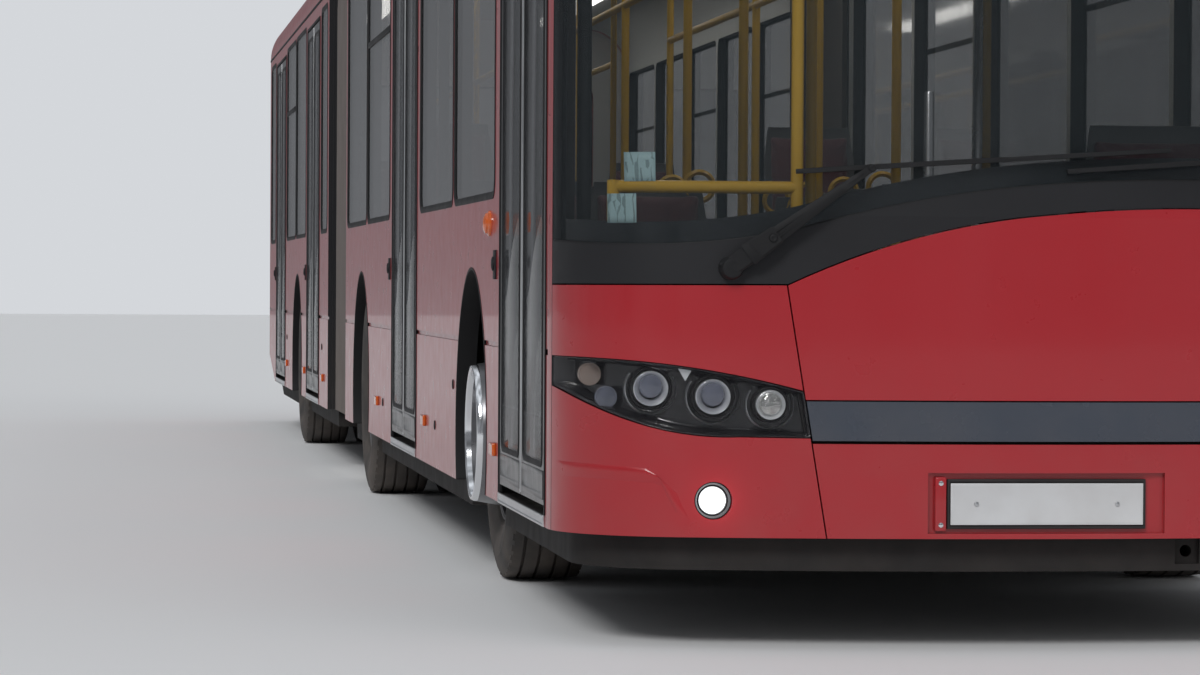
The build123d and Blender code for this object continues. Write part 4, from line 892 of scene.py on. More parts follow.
def side_band(side, low):
    """Lays a ribbon up the side of the windscreen."""
    def place(u, v):
        z = blend_between(low, 2.255, v)
        return nose_point(side * (nose_run(HALF_WIDTH, z) - 0.060 - 0.045 * (1 - u)), z, BAND_INSET)
    return place


def level_band(z, height, inset):
    def place(u, v):
        return nose_point(blend_between(-SIDE_RUN, SIDE_RUN, u), z + height * v, inset)
    return place


nose_sheet("windscreen_foot_band", 120, 3, foot_band(0.062, BAND_INSET), black_gloss)
nose_sheet("windscreen_foot_seal", 140, 2, foot_band(0.009, 0.0012, -0.0045), seal_rubber,
           thickness=0.004, offset=-0.6)
for side, label in SIDES:
    nose_sheet(label + "_windscreen_side_band", 4, 40, side_band(side, glass_foot(side * 1.27)), black_gloss)
nose_sheet("windscreen_top_band", 110, 3, level_band(2.13, 0.128, BAND_INSET), black_gloss)
nose_sheet("windscreen_top_seal", 110, 2, level_band(2.2585, 0.011, 0.0010), seal_rubber,
           thickness=0.004, offset=-0.6)
print("glass foot at the middle", round(glass_foot(0.0), 3))

# %% [markdown]
# Behind the upper glass is the destination display: a shallow black box whose face is a field of small
# unlit dots. It shows nothing, as when the bus is out of service.

# %% Destination display
DISPLAY_LOW, DISPLAY_TOP = 2.325, 2.600
DISPLAY_HALF = 0.86


def display_place(u, v):
    return nose_point(blend_between(-DISPLAY_HALF, DISPLAY_HALF, u),
                      blend_between(DISPLAY_LOW, DISPLAY_TOP, v), 0.060)


display_dots, tree, shader, place = blank_material("display_dots", {"Roughness": 0.5})
cells = add_node(tree, "TexVoronoi", {"Vector": place, "Scale": 70.0, "Randomness": 0.0})
dots = ranged(tree, cells.outputs["Distance"], 1.0, 0.0, 0.30, 0.38)
tree.links.new(mixed(tree, dots, (0.008, 0.008, 0.009), (0.055, 0.050, 0.040)), shader.inputs["Base Color"])
nose_sheet("display_screen", 60, 8, display_place, display_dots, "screen_glass")
nose_sheet("display_backing", 90, 6, level_band(2.268, 0.430, 0.0660), black_matte)
print("display height", round(DISPLAY_TOP - DISPLAY_LOW, 3))

# %% [markdown]
# ## Wheels and tyres
# A bus tyre has a rounded shoulder, a sidewall with raised ribs, and four deep grooves round its tread with
# small cross cuts. Its outline is turned once, the cross cuts are blocks set round it, and every wheel is
# a copy with its own mesh.

# %% Tyre outline and tread
TYRE_RADIUS = 0.4785
TYRE_HALF = 0.138
BEAD_RADIUS = 0.288
SHOULDER = 0.112
GROOVE_DEPTH = 0.013
GROOVE_HALF = 0.0055
GROOVES = (-0.078, -0.027, 0.027, 0.078)
TREAD_CUTS = 54
BLOCK_OUT = 0.108
BLOCK_SIZE = (0.022, 0.026, 0.009)


def tread_radius(out):
    """The crown of the tread is a shallow arch that drops at the shoulders."""
    return TYRE_RADIUS - 0.006 * (abs(out) / SHOULDER) ** 2.5


def tyre_outline():
    """Half-section of a tyre from its inner bead over the tread to its outer bead."""
    sidewall = [
        (-0.098, BEAD_RADIUS), (-0.116, 0.300), (-0.1195, 0.306), (-0.1175, 0.311), (-0.131, 0.345),
        (-TYRE_HALF, 0.383), (-0.1372, 0.402), (-0.1385, 0.4045), (-0.1365, 0.408), (-0.133, 0.432),
        (-0.126, 0.455), (-0.119, 0.464)]
    crown = [(-SHOULDER, tread_radius(SHOULDER))]
    for groove in GROOVES:
        for share, sink in ((-1, 0.0), (-0.55, GROOVE_DEPTH), (0.55, GROOVE_DEPTH), (1, 0.0)):
            crown.append((groove + GROOVE_HALF * share, tread_radius(groove) - sink))
    crown.append((SHOULDER, tread_radius(SHOULDER)))
    whole = sidewall + crown + [(-out, radius) for out, radius in reversed(sidewall)]
    return [(max(-TYRE_HALF, min(TYRE_HALF, out)), radius) for out, radius in whole]


block_low = tread_radius(BLOCK_OUT) - BLOCK_SIZE[2] - 0.0012
block = slab("tyre_shoulder", (BLOCK_OUT - BLOCK_SIZE[0] / 2, -BLOCK_SIZE[1] / 2, block_low),
             (BLOCK_OUT + BLOCK_SIZE[0] / 2, BLOCK_SIZE[1] / 2, block_low + BLOCK_SIZE[2]),
             press=("+Z", (0.0025, 0.0)))
shoulder = ring_of(block, TREAD_CUTS)
other_shoulder = placed(shoulder, (0, 0, 0), (math.pi / TREAD_CUTS, 0, math.pi))
tyre_master = join([lathe("tyre", tyre_outline(), steps=96), shoulder, other_shoulder], "tyre_master")
print("tyre faces", len(tyre_master.data.polygons))

# %% [markdown]
# The front wheels wear a bright trim ring over the rim's edge, ten nuts and a hub cap. The twin wheels are
# dished inwards, so their hub stands deep inside the outer wheel. The rims themselves are CAD pieces.

# %% Tyres, trim rings, nuts and hubs
WHEEL_Z = TYRE_RADIUS
FRONT_X = (1.050,)
TWIN_X = (1.107, 0.791)
FACING = {1: (0, 0, 0), -1: (0, 0, math.pi)}
NUT = [(0.0, 0.0165), (0.013, 0.0160), (0.014, 0.0125), (0.026, 0.0115), (0.031, 0.007), (0.0325, 0.0)]
HUB_CAP = [(0.000, 0.078), (0.010, 0.077), (0.014, 0.068), (0.018, 0.062), (0.030, 0.058), (0.036, 0.048),
           (0.038, 0.020), (0.038, 0.0)]
RIM_RINGS = {
    "lip": [(0.100, 0.2850), (0.1085, 0.2880), (0.1125, 0.2850), (0.1110, 0.2800), (0.104, 0.2750),
            (0.098, 0.2745)],
    "ring": [(0.2040, 0.2247), (0.2150, 0.2240), (0.2240, 0.2190), (0.2250, 0.2120), (0.2200, 0.2060),
             (0.2040, 0.2033)],
    "barrel": [(0.0575, 0.2450), (0.1000, 0.2440), (0.1500, 0.2350), (0.2060, 0.2245), (0.2060, 0.2045),
               (0.1500, 0.2010), (0.1000, 0.1960)],
}
RIM_FINISH = {"cap": rim_steel, "nuts": brushed, "lip": rim_steel, "ring": chrome, "barrel": brushed_dark}


def hub_set(hub_out, nut_out, nut_circle, rings):
    """The pieces that dress one visible rim, with its centre at the origin and facing +X."""
    pieces = {kind: lathe(kind, RIM_RINGS[kind], steps=72) for kind in rings}
    pieces["cap"] = lathe("cap", [(hub_out + out, radius) for out, radius in HUB_CAP])
    pieces["nuts"] = ring_of(lathe("nuts", NUT, (nut_out, 0, nut_circle), steps=6), 10)
    return pieces


hub_sets = {
    FRONT_X: hub_set(0.106, 0.0690, 0.1675, ("lip", "ring", "barrel")),
    TWIN_X: hub_set(0.055, -0.0800, 0.1800, ("lip",)),
}
for side, label in SIDES:
    for axle, name, section in AXLES:
        wheels_x = FRONT_X if name == "front" else TWIN_X
        plural = "s" * (len(wheels_x) - 1)
        body = "%s_%s_wheel%s" % (name, label, plural)
        tyre = join([placed(tyre_master, (side * x, axle, WHEEL_Z), FACING[side]) for x in wheels_x],
                    "%s_%s_tyre_tread%s" % (name, label, plural))
        dress(tyre, body, tyre_rubber)
        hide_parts("%s_%s_tyre%s" % (name, label, plural))
        for kind, master in hub_sets[wheels_x].items():
            piece = placed(master, (side * wheels_x[0], axle, WHEEL_Z), FACING[side], body + "_" + kind)
            dress(piece, body, RIM_FINISH[kind])
discard(tyre_master, *hub_sets[FRONT_X].values(), *hub_sets[TWIN_X].values())
print("wheels dressed:", len(AXLES) * 2)

# %% [markdown]
# ## Side windows, doors and sills
# Each pane sits in a black rubber gasket. The gasket is one ring laid round a rectangle with round corners:
# a grid is wrapped along the outline and across the small section of the rubber.

# %% Window places
WINDOW_LOW, WINDOW_HIGH = 1.24, 2.44
WINDOW_CORNER = 0.060
HOPPER_LOW, HOPPER_HIGH = 2.020, 2.046
RING_STEPS = 40
GASKET = [(0.011, -0.001), (0.0105, 0.0016), (0.004, 0.0030), (-0.006, 0.0024), (-0.013, -0.0005),
          (-0.0135, -0.0035), (0.011, -0.0035), (0.011, -0.001)]


def window_spans(node, side):
    """Start and end of every pane of a glass node on one side, from the outer faces of its mesh."""
    spans = []
    mesh = bpy.data.objects[node].data
    faces = [face for face in mesh.polygons if face.normal.x * side > 0.99 and face.center.x * side > 1.2717]
    edges = sorted((min(mesh.vertices[index].co.y for index in face.vertices),
                    max(mesh.vertices[index].co.y for index in face.vertices)) for face in faces)
    for start, end in edges:
        if spans and start <= spans[-1][1] + 0.002:
            spans[-1][1] = max(spans[-1][1], end)
        else:
            spans.append([start, end])
    return [(start, end) for start, end in spans if end - start > 0.3]


def rounded_path(width, height, corner, share):
    """The point at a share of the way round a rectangle with round corners, and its outward direction."""
    straight = (width - 2 * corner, height - 2 * corner)
    number, rest = divmod((share % 1.0) * RING_STEPS + 1e-9, RING_STEPS / 4)
    number = int(number) % 4
    heading = number * math.pi / 2
    if rest <= 2:
        run = (rest / 2 - 0.5) * straight[number % 2]
        out = (height, width)[number % 2] / 2
        return (math.cos(heading) * run + math.sin(heading) * out,
                math.sin(heading) * run - math.cos(heading) * out, math.sin(heading), -math.cos(heading))
    angle = heading - math.pi / 2 + (rest - 2) / 8 * math.pi / 2
    side_x, side_z = [(1, -1), (1, 1), (-1, 1), (-1, -1)][number]
    return (side_x * straight[0] / 2 + corner * math.cos(angle),
            side_z * straight[1] / 2 + corner * math.sin(angle), math.cos(angle), math.sin(angle))


def seal_up(piece):
    """Merges the points where a wrapped grid meets itself and turns its faces outwards."""
    edit_all(piece, lambda: bpy.ops.mesh.remove_doubles(threshold=0.0001),
             lambda: bpy.ops.mesh.normals_make_consistent(inside=False))
    return smooth(piece)


def ring_round(name, centre, width, height, corner, section, lay):
    """A ring round a rectangle, whose section is (outwards, proud) points and whose points lay sets."""
    def place(u, v):
        run, up, out_run, out_up = rounded_path(width, height, corner, u)
        out, proud = section[round(v * (len(section) - 1))]
        return lay(centre[0] + run + out_run * out, centre[1] + up + out_up * out, proud)
    return seal_up(laid_grid(name, RING_STEPS, len(section) - 1, place))


def wall_ring(name, side, y0, y1, z0, z1, corner, section):
    """A ring round an opening of a side wall."""
    return ring_round(name, ((y0 + y1) / 2, (z0 + z1) / 2), y1 - y0, z1 - z0, corner, section,
                      lambda run, up, proud: Vector((side * (HALF_WIDTH + proud), run, up)))


for body, node in ((FRONT, "front_side_glass"), (REAR, "rear_side_glass")):
    for side, label in SIDES:
        gaskets = []
        for number, (start, end) in enumerate(window_spans(node, side)):
            gaskets.append(wall_ring("gasket", side, start, end, WINDOW_LOW, WINDOW_HIGH, WINDOW_CORNER,
                                     GASKET))
            if number % 2 == 0 and end - start > 1.0:
                gaskets.append(slab("hopper_bar", (side * 1.2695, start + 0.010, HOPPER_LOW),
                                    (side * 1.2770, end - 0.010, HOPPER_HIGH), 0.003))
        print(node, label, "pieces", len(gaskets))
        dress(join(gaskets, "%s_gaskets_%s" % (node, label)), body, seal_rubber)

# %% [markdown]
# The door leaves are tall panes in slim black frames with a kick panel at the foot. Their glass is told
# from the frame by its depth. Each leading edge has a finger-safe rubber with a bright strip beside it.

# %% Doors
DOORS = [
    # name, body that carries the sill
    ("door_1", FRONT), ("door_2", FRONT), ("door_3", REAR), ("door_4", REAR),
]
GLASS_DEPTHS = (0.003, 0.011)
PANE_LOW, PANE_HIGH = 0.470, 2.345
KICK_LOW, KICK_HIGH = 0.372, 0.452
OPENING_LOW, OPENING_HIGH = 0.332, 2.409
door_black = finish_material("door_black", (0.016, 0.017, 0.019), roughness=0.32, coat=0.2, tone=0.2,
                             bump_scale=80.0, bump_depth=0.0002, dust=0.10)
door_glass = finish_material("door_glass", (0.022, 0.026, 0.030), roughness=0.04, tone=0.1, rough_spread=0.02,
                             alpha=0.45)


def leaf_face(normal, x, y, z):
    """Glass where the face lies at one of the pane's two depths, and frame elsewhere."""
    near = min(abs(x + HALF_WIDTH - depth) for depth in GLASS_DEPTHS)
    return int(abs(normal.x) > 0.99 and near < 0.0008)


def dress_leaf(body, toward):
    """Rubber, strip, seal, pane and kick panel of one leaf, whose leading edge looks one way."""
    finish_faces(body, [door_black, side_glass], leaf_face)
    trail, lead = [corner[1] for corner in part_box(body)][::toward]
    y0, y1 = sorted((trail + toward * 0.055, lead - toward * 0.055))
    fitting(body + "_edge_rubber", body, seal_rubber, (-1.2735, -1.2370),
            (lead - toward * 0.001, lead + toward * 0.0042), (0.362, 2.396), 0.0015)
    fitting(body + "_edge_strip", body, brushed, (-1.2765, -1.2745),
            (lead - toward * 0.016, lead - toward * 0.004), (0.364, 2.394), 0.0007)
    seal = wall_ring(body + "_glass_seal", -1, y0, y1, PANE_LOW, PANE_HIGH, 0.030, GASKET)
    dress(seal, body, seal_rubber)
    fitting(body + "_pane", body, door_glass, (-1.2768, -1.2751), (y0 + 0.002, y1 - 0.002),
            (PANE_LOW + 0.002, PANE_HIGH - 0.002), 0.0006)
    fitting(body + "_kick_panel", body, door_black, (-1.2772, -1.2740),
            (trail + toward * 0.020, lead - toward * 0.024), (KICK_LOW, KICK_HIGH), 0.001,
            press=("-X", (0.014, 0.0), (0.003, -0.0015)))


for door, section in DOORS:
    dress_leaf(door + "_front_leaf", 1)
    dress_leaf(door + "_rear_leaf", -1)
    front_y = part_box(door + "_front_leaf")[0][1] - 0.020
    rear_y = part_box(door + "_rear_leaf")[1][1] + 0.020
    fitting(door + "_sill", section, brushed, (-1.2800, -1.2747), (front_y, rear_y),
            (0.3005, OPENING_LOW), 0.0010, press=("-X", (0.006, 0.0), (0.002, -0.002)))
    fitting(door + "_header_seal", section, seal_rubber, (-1.2785, -1.2747),
            (front_y - 0.010, rear_y + 0.010), (2.4085, 2.4230), 0.0015)
    for label, y, inward in (("front", front_y, 1), ("rear", rear_y, -1)):
        jamb = slab("jamb_face", (-1.2785, y - inward * 0.012, OPENING_LOW),
                    (-1.2747, y + inward * 0.001, OPENING_HIGH), 0.0015)
        lip = slab("jamb_lip", (-1.2760, y - inward * 0.001, OPENING_LOW),
                   (-1.2640, y + inward * 0.014, OPENING_HIGH), 0.0025)
        dress(join([jamb, lip], "%s_%s_jamb_seal" % (door, label)), section, seal_rubber)
    print(door, "opening", round(front_y, 3), round(rear_y, 3))

# %% [markdown]
# ## Bellows
# Pleated cloth joins the two sections. Each pleat is drawn in between two ribs, and the whole arch is one
# grid: across it the pleats alternate, and along it the grid follows the arch from foot to foot.

# %% Pleated arch
BELLOWS_START = along(9.35) + 0.0005
BELLOWS_END = along(10.85) - 0.0005
PLEATS = 16
PLEAT_DEPTH = 0.060
ARCH = [
    # x, z, drawn in by a pleat across, and downwards
    (1.240, 0.300, 1.0, 0.0), (1.240, 1.000, 1.0, 0.0), (1.240, 1.700, 1.0, 0.0), (1.240, 2.400, 1.0, 0.0),
    (1.236, 2.500, 1.0, 0.15), (1.215, 2.580, 0.95, 0.35), (1.172, 2.655, 0.8, 0.6),
    (1.100, 2.718, 0.65, 0.8), (1.010, 2.757, 0.5, 0.9), (0.800, 2.785, 0.2, 1.0),
    (0.500, 2.811, 0.0, 1.0), (0.0, 2.812, 0.0, 1.0),
]
ARCH_POINTS = ARCH + [(-x, z, -across, down) for x, z, across, down in reversed(ARCH[:-1])]
ARCH_STEPS = (len(ARCH_POINTS) - 1) * 2


def on_arch(share):
    """The point and the drawing-in direction at a share of the way round the arch."""
    place = share * (len(ARCH_POINTS) - 1)
    number = min(int(place), len(ARCH_POINTS) - 2)
    return [blend_between(a, b, place - number) for a, b in zip(ARCH_POINTS[number], ARCH_POINTS[number + 1])]


def pleat_fold(share):
    """How far the cloth is drawn in: rounded at the ribs and tight in the valleys."""
    return abs((share * PLEATS % 1.0) * 2 - 1) ** 0.75


def bellows_place(u, v):
    x, z, across, down = on_arch(u)
    fold = 0.004 + (PLEAT_DEPTH - 0.006) * pleat_fold(v)
    sag = 0.004 * math.sin(9 * math.pi * v + 7 * u) * min(1.0, 6 * u, 6 * (1 - u))
    draw = fold + sag * 0.3
    return Vector((x - across * draw, blend_between(BELLOWS_START, BELLOWS_END, v), z - down * draw))


bellows = turned(laid_grid("bellows_cloth", ARCH_STEPS, PLEATS * 8, bellows_place), Vector((0, 0, 1)))
apply_modifier(bellows, "SOLIDIFY", thickness=0.005, offset=-1)
smooth(bellows, 40)
bellows.data.materials.append(bellows_cloth)
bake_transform(bellows)
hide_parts("bellows")
print("bellows", len(bellows.data.polygons), "faces")


def arch_hoop(name, y0, y1, body):
    """A black frame round one end of the bellows."""
    section = [(0.012, y0), (0.012, y1), (-0.030, y1), (-0.030, y0), (0.012, y0)]

    def place(u, v):
        x, z, across, down = on_arch(u)
        out, y = section[round(v * 4)]
        return Vector((x + across * out, y, z + down * out))
    dress(seal_up(laid_grid(name, ARCH_STEPS, 4, place)), body, black_matte)


arch_hoop("bellows_front_hoop", BELLOWS_START, BELLOWS_START + 0.028, FRONT)
arch_hoop("bellows_rear_hoop", BELLOWS_END - 0.028, BELLOWS_END, REAR)

# %% [markdown]
# ## Seats
# Each seat is a thin moulded shell with a padded cushion and a padded back in patterned-looking cloth. The
# pad is swelled by a short cloth simulation under pressure, once, and every seat has its own copy of it.

# %% Seat cloth and pads
SWELL_LIMIT = 0.010
SEAMS = (-0.30, 0.30)
seat_cloth, tree, shader, place = blank_material("seat_cloth", {"Roughness": 0.85, "Sheen Weight": 0.35})
weave = add_node(tree, "TexWave", {"Vector": place, "Scale": 330.0, "Distortion": 1.5})
flecks = ranged(tree, noise(tree, place, 420.0, 2.0), 0.0, 1.0, 0.48, 0.60)
ground = mixed(tree, noise(tree, place, 9.0), (0.085, 0.020, 0.030), (0.125, 0.028, 0.040))
tree.links.new(mixed(tree, product(tree, flecks, 0.35), ground, (0.26, 0.20, 0.19)),
               shader.inputs["Base Color"])
bump(tree, shader, weave.outputs["Fac"], 0.35, 0.0006)


def swell(piece):
    """Swells a pad by cloth under pressure, with its base held and each point's way limited."""
    pick(piece)
    cloth = piece.modifiers.new("Cloth", "CLOTH")
    cloth.settings.use_pressure = True
    cloth.settings.uniform_pressure_force = 4.0
    cloth.settings.effector_weights.gravity = 0.0
    cloth.settings.quality = 5
    pinned = piece.vertex_groups.new(name="base")
    pinned.add([vertex.index for vertex in piece.data.vertices if vertex.co.z < 0.010], 1.0, "REPLACE")
    cloth.settings.vertex_group_mass = "base"
    rest = [vertex.co.copy() for vertex in piece.data.vertices]
    for step in range(1, 16):
        bpy.context.scene.frame_set(step)
    bpy.ops.object.modifier_apply(modifier=cloth.name)
    bpy.context.scene.frame_set(1)
    for vertex, was in zip(piece.data.vertices, rest):
        moved = vertex.co - was
        if moved.length > SWELL_LIMIT:
            vertex.co = was + moved.normalized() * SWELL_LIMIT
    piece.vertex_groups.clear()


def pad(name, width, depth, thick):
    """An upholstered pad, lying flat with its top at +Z, with a crown and two seams."""
    piece = slab(name, (-width / 2, -depth / 2, 0), (width / 2, depth / 2, thick))
    apply_modifier(piece, "BEVEL", width=0.012, segments=3, limit_method="ANGLE")
    apply_modifier(piece, "REMESH", mode="VOXEL", voxel_size=0.011)
    swell(piece)
    half_x, half_y = width / 2, depth / 2
    for vertex in piece.data.vertices:
        across, down = (min(1.0, abs(value) / half) for value, half in zip(vertex.co, (half_x, half_y)))
        if vertex.co.z > thick * 0.5:
            vertex.co.z += 0.007 * (1 - across ** 2.4) * (1 - down ** 2.4)
            for seam in SEAMS:
                near = vertex.co.x - seam * half_x
                vertex.co.z -= 0.006 * math.exp(-(near / 0.008) ** 2) * min(1.0, 6 * (1 - down))
    return smooth(piece, 70)


CUSHION = pad("cushion_master", 0.395, 0.375, 0.040)
BACKREST = pad("backrest_master", 0.375, 0.520, 0.030)
print("pads", len(CUSHION.data.polygons), len(BACKREST.data.polygons))

# %% [markdown]
# The shell is a sheet bent along a side view of the seat: it curls at the front lip, runs level under the
# cushion and turns up behind the back. Its long edges rise a little, which makes the moulding look stiff.

# %% Seat shell
SEAT_WIDTH = 0.440
CUSHION_RISE = 0.430
SHELL_PATH = [
    # behind the front of the seat, above the cushion's top
    (0.000, -0.078), (0.003, -0.060), (0.020, -0.049), (0.180, -0.053), (0.330, -0.053), (0.368, -0.047),
    (0.388, -0.027), (0.398, 0.004), (0.4436, 0.256), (0.469, 0.400), (0.496, 0.548), (0.498, 0.567),
    (0.489, 0.573),
]


def between(start, end, share):
    return tuple(blend_between(a, b, share) for a, b in zip(start, end))


def along_path(points, share):
    """The point at a share of the length of a line of points."""
    pairs = list(zip(points, points[1:]))
    run = share * sum(math.dist(a, b) for a, b in pairs)
    for a, b in pairs:
        length = math.dist(a, b)
        if run <= length or (a, b) == pairs[-1]:
            return between(a, b, min(1.0, run / length))
        run -= length


def shell_place(u, v):
    back, up = along_path(SHELL_PATH, v)
    edge = abs(2 * u - 1) ** 5
    turn_up = min(1.0, max(0.0, (v - 0.38) / 0.12))
    width = (SEAT_WIDTH - 0.014) * (1 - 0.10 * max(0.0, v - 0.85) / 0.15)
    return Vector(((u - 0.5) * width, back - 0.016 * edge * turn_up, up + 0.016 * edge * (1 - turn_up)))


SHELL = turned(laid_grid("shell_master", 14, 36, shell_place), Vector((0, 0, 1)))
apply_modifier(SHELL, "SOLIDIFY", thickness=0.006, offset=-1)
smooth(SHELL, 50)
print("shell", len(SHELL.data.polygons))

# %% [markdown]
# Pairs of seats stand along the aisle, single seats on the wheel boxes, a bench of five at the back, and the
# driver's seat in its cab. The table gives the place of each row, and one loop copies the shell and the pads
# and adds the legs, the feet and the yellow grips.

# %% Seat rows
LEFT_PAIR, RIGHT_PAIR, LEFT_BOX, RIGHT_BOX = 0.300, -1.190, 0.640, -1.080
BOX_FLOOR, DRIVER_FLOOR = 0.710, 0.450
LEGS_FROM = {BOX_FLOOR: 1.0403, DRIVER_FLOOR: FLOOR_Z + 0.0005}
SEAT_ROWS = [
    # section, inner x, distance behind the nose, places, floor that the seat's height is reckoned from
    *[(FRONT, LEFT_PAIR, y, 2, FLOOR_Z) for y in (3.47, 4.23, 4.99, 5.75)],
    *[(FRONT, RIGHT_PAIR, y, 2, FLOOR_Z) for y in (3.47, 4.16, 6.80)],
    (FRONT, LEFT_BOX, 8.00, 1, BOX_FLOOR), (FRONT, RIGHT_BOX, 8.00, 1, BOX_FLOOR),
    (FRONT, 0.450, 1.00, 1, DRIVER_FLOOR),
    *[(REAR, LEFT_PAIR, y, 2, FLOOR_Z) for y in (11.25, 12.01, 12.77, 14.76, 15.52, 16.28)],
    (REAR, LEFT_BOX, 13.85, 1, BOX_FLOOR), (REAR, RIGHT_BOX, 13.85, 1, BOX_FLOOR),
    (REAR, RIGHT_PAIR, 14.70, 2, FLOOR_Z), (REAR, -1.100, 17.28, 5, FLOOR_Z + 0.2),
]
hard_parts = {FRONT: [], REAR: []}
grips = {FRONT: [], REAR: []}
for number, (section, x, distance, places, floor_z) in enumerate(SEAT_ROWS):
    y, top = along(distance), floor_z + CUSHION_RISE
    pads = []
    for place in range(places):
        middle = x + SEAT_WIDTH * (place + 0.5)
        pads.append(placed(CUSHION, (middle, y + 0.192, top - 0.049)))
        pads.append(placed(BACKREST, (middle, y + 0.4430, top + 0.268), (math.radians(80), 0, 0)))
        hard_parts[section].append(placed(SHELL, (middle, y, top)))
    row = smooth(join(pads, "seat_row_%02d_pads" % number), 70)
    dress(row, section, seat_cloth)
    foot_z = LEGS_FROM.get(floor_z, floor_z + 0.0005)
    for share in ((0.2, 0.8) if places > 1 else (0.5,)):
        leg_x = x + SEAT_WIDTH * places * share
        hard_parts[section] += [
            slab("leg", (leg_x - 0.022, y + 0.150, foot_z + 0.008),
                 (leg_x + 0.022, y + 0.300, top - 0.058), 0.010),
            slab("foot", (leg_x - 0.045, y + 0.110, foot_z),
                 (leg_x + 0.045, y + 0.340, foot_z + 0.010), 0.003)]
    if places == 2:
        aisle_x = x + 0.030 if x > 0 else x + SEAT_WIDTH * places - 0.030
        grips[section].append(lathe(
            "grip", [(-0.010, 0.052), (0.0, 0.062), (0.010, 0.052), (0.0, 0.042), (-0.010, 0.052)],
            (aisle_x, y + 0.497, top + 0.560), FORWARDS, 24))
for section, label in ((FRONT, "front"), (REAR, "rear")):
    shells = join(hard_parts[section], label + "_seat_shells")
    dress(shells, section, seat_shell)
    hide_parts(label + "_seats")
    dress(join(grips[section], label + "_seat_grips"), section, handrail_yellow)
discard(CUSHION, BACKREST, SHELL)
print("seats", sum(row[3] for row in SEAT_ROWS))

# %% [markdown]
# ## Lamps and small fittings on the sides
# Orange turn lamps and markers, the arch lips of black rubber and the round latches of the service flaps
# break up the long sides. Each is a turned or pressed shape that stands a few millimetres proud.

# %% Side markers, indicators and latches
MARKER_Z = 0.456
MARKER_PLACES = {FRONT: (1.973, 4.60, 7.10), REAR: (11.30, 13.20, 15.30)}
LATCH_PLACES = {FRONT: ((4.137, 0.454), (6.771, 0.459), (3.40, 0.620)), REAR: ((15.30, 0.620), (11.40, 0.62))}
LATCH = [(-0.001, 0.017), (0.003, 0.0165), (0.004, 0.013), (0.002, 0.011), (0.002, 0.0)]
for side, label in SIDES:
    turn_lamp = lathe(label + "_turn_lamp", [
        (-0.001, 0.041), (0.006, 0.040), (0.009, 0.036), (0.010, 0.034), (0.017, 0.031), (0.022, 0.020),
        (0.024, 0.008), (0.0242, 0.0)], (side * HALF_WIDTH, along(2.130), 1.154), (side, 0, 0), 40)
    dress(turn_lamp, FRONT, orange_lens)
    outwards = "+X" if side > 0 else "-X"
    for section in (FRONT, REAR):
        markers = [slab("marker", (side * (HALF_WIDTH - 0.001), along(distance) - 0.055, MARKER_Z - 0.020),
                        (side * (HALF_WIDTH + 0.012), along(distance) + 0.055, MARKER_Z + 0.020), 0.004, 3,
                        press=(outwards, (0.006, 0.0))) for distance in MARKER_PLACES[section]]
        dress(join(markers, "%s_%s_markers" % (section, label)), section, orange_lens)
        latches = [lathe("latch", LATCH, (side * HALF_WIDTH, along(distance), z), (side, 0, 0), 20)
                   for distance, z in LATCH_PLACES[section]]
        dress(join(latches, "%s_%s_latches" % (section, label)), section, black_matte)
        print(section, label, "markers", len(markers), "latches", len(latches))

# %% [markdown]
# Beside each door a button for passengers sits on a small plate. The plate is pressed from a block and the
# button is turned. They are joined, because they have one finish and never move apart.

# %% Door buttons
for door, section in DOORS:
    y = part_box(door + "_rear_leaf")[1][1] + 0.165
    plate_part = slab("button_plate", (-HALF_WIDTH - 0.006, y - 0.028, 0.980),
                      (-HALF_WIDTH + 0.001, y + 0.028, 1.070), 0.002, press=("-X", (0.005, 0.0)))
    button = lathe("button", [(-0.001, 0.022), (0.005, 0.0215), (0.006, 0.019), (0.0045, 0.016),
                              (0.0075, 0.014), (0.008, 0.0)], (-HALF_WIDTH - 0.006, y, 1.028), (-1, 0, 0), 32)
    dress(join([plate_part, button], door + "_button"), section, black_matte)
print("door buttons", len(DOORS))

# %% [markdown]
# A rubber lip covers the cut edge of each wheel arch. It could be a pipe bent round a circle, but a grid
# wrapped along the arch and across the lip's section keeps its thin flange true all the way round.

# %% Wheel arch lips
ARCH_RADIUS = 0.535
ARCH_LOW = math.asin((0.302 - WHEEL_Z) / ARCH_RADIUS)
LIP = [(-0.0030, -0.064), (-0.0035, -0.002), (-0.0030, 0.0010), (0.0015, 0.0024), (0.0060, 0.0016),
       (0.0065, -0.001), (0.0010, -0.001), (0.0010, -0.064), (-0.0030, -0.064)]


def lip_place(side, axle):
    """Lays the lip round one wheel arch of one side."""
    def place(u, v):
        angle = blend_between(ARCH_LOW, math.pi - ARCH_LOW, u)
        out, proud = LIP[round(v * (len(LIP) - 1))]
        radius = ARCH_RADIUS + out
        return Vector((side * (HALF_WIDTH + proud), axle + radius * math.cos(angle),
                       WHEEL_Z + radius * math.sin(angle)))
    return place


for side, label in SIDES:
    for axle, name, section in AXLES:
        lip = laid_grid("%s_%s_arch_lip" % (label, name), 72, len(LIP) - 1, lip_place(side, axle))
        dress(seal_up(lip), section, seal_rubber)
print("arch starts at", round(math.degrees(ARCH_LOW), 1), "degrees")

# %% [markdown]
# ## Wipers
# Each wiper has a tapered pressed arm on a knuckle, and a blade of thin rubber held by a bridge with two
# yokes. All of them are straps: a rounded rectangle swept along the curve of the windscreen.

# %% Straps along the windscreen
ROUND_RECTANGLE = [(-1.0, -0.6), (-0.8, -1.0), (0.8, -1.0), (1.0, -0.6), (1.0, 0.6), (0.8, 1.0), (-0.8, 1.0),
                   (-1.0, 0.6), (-1.0, -0.6)]


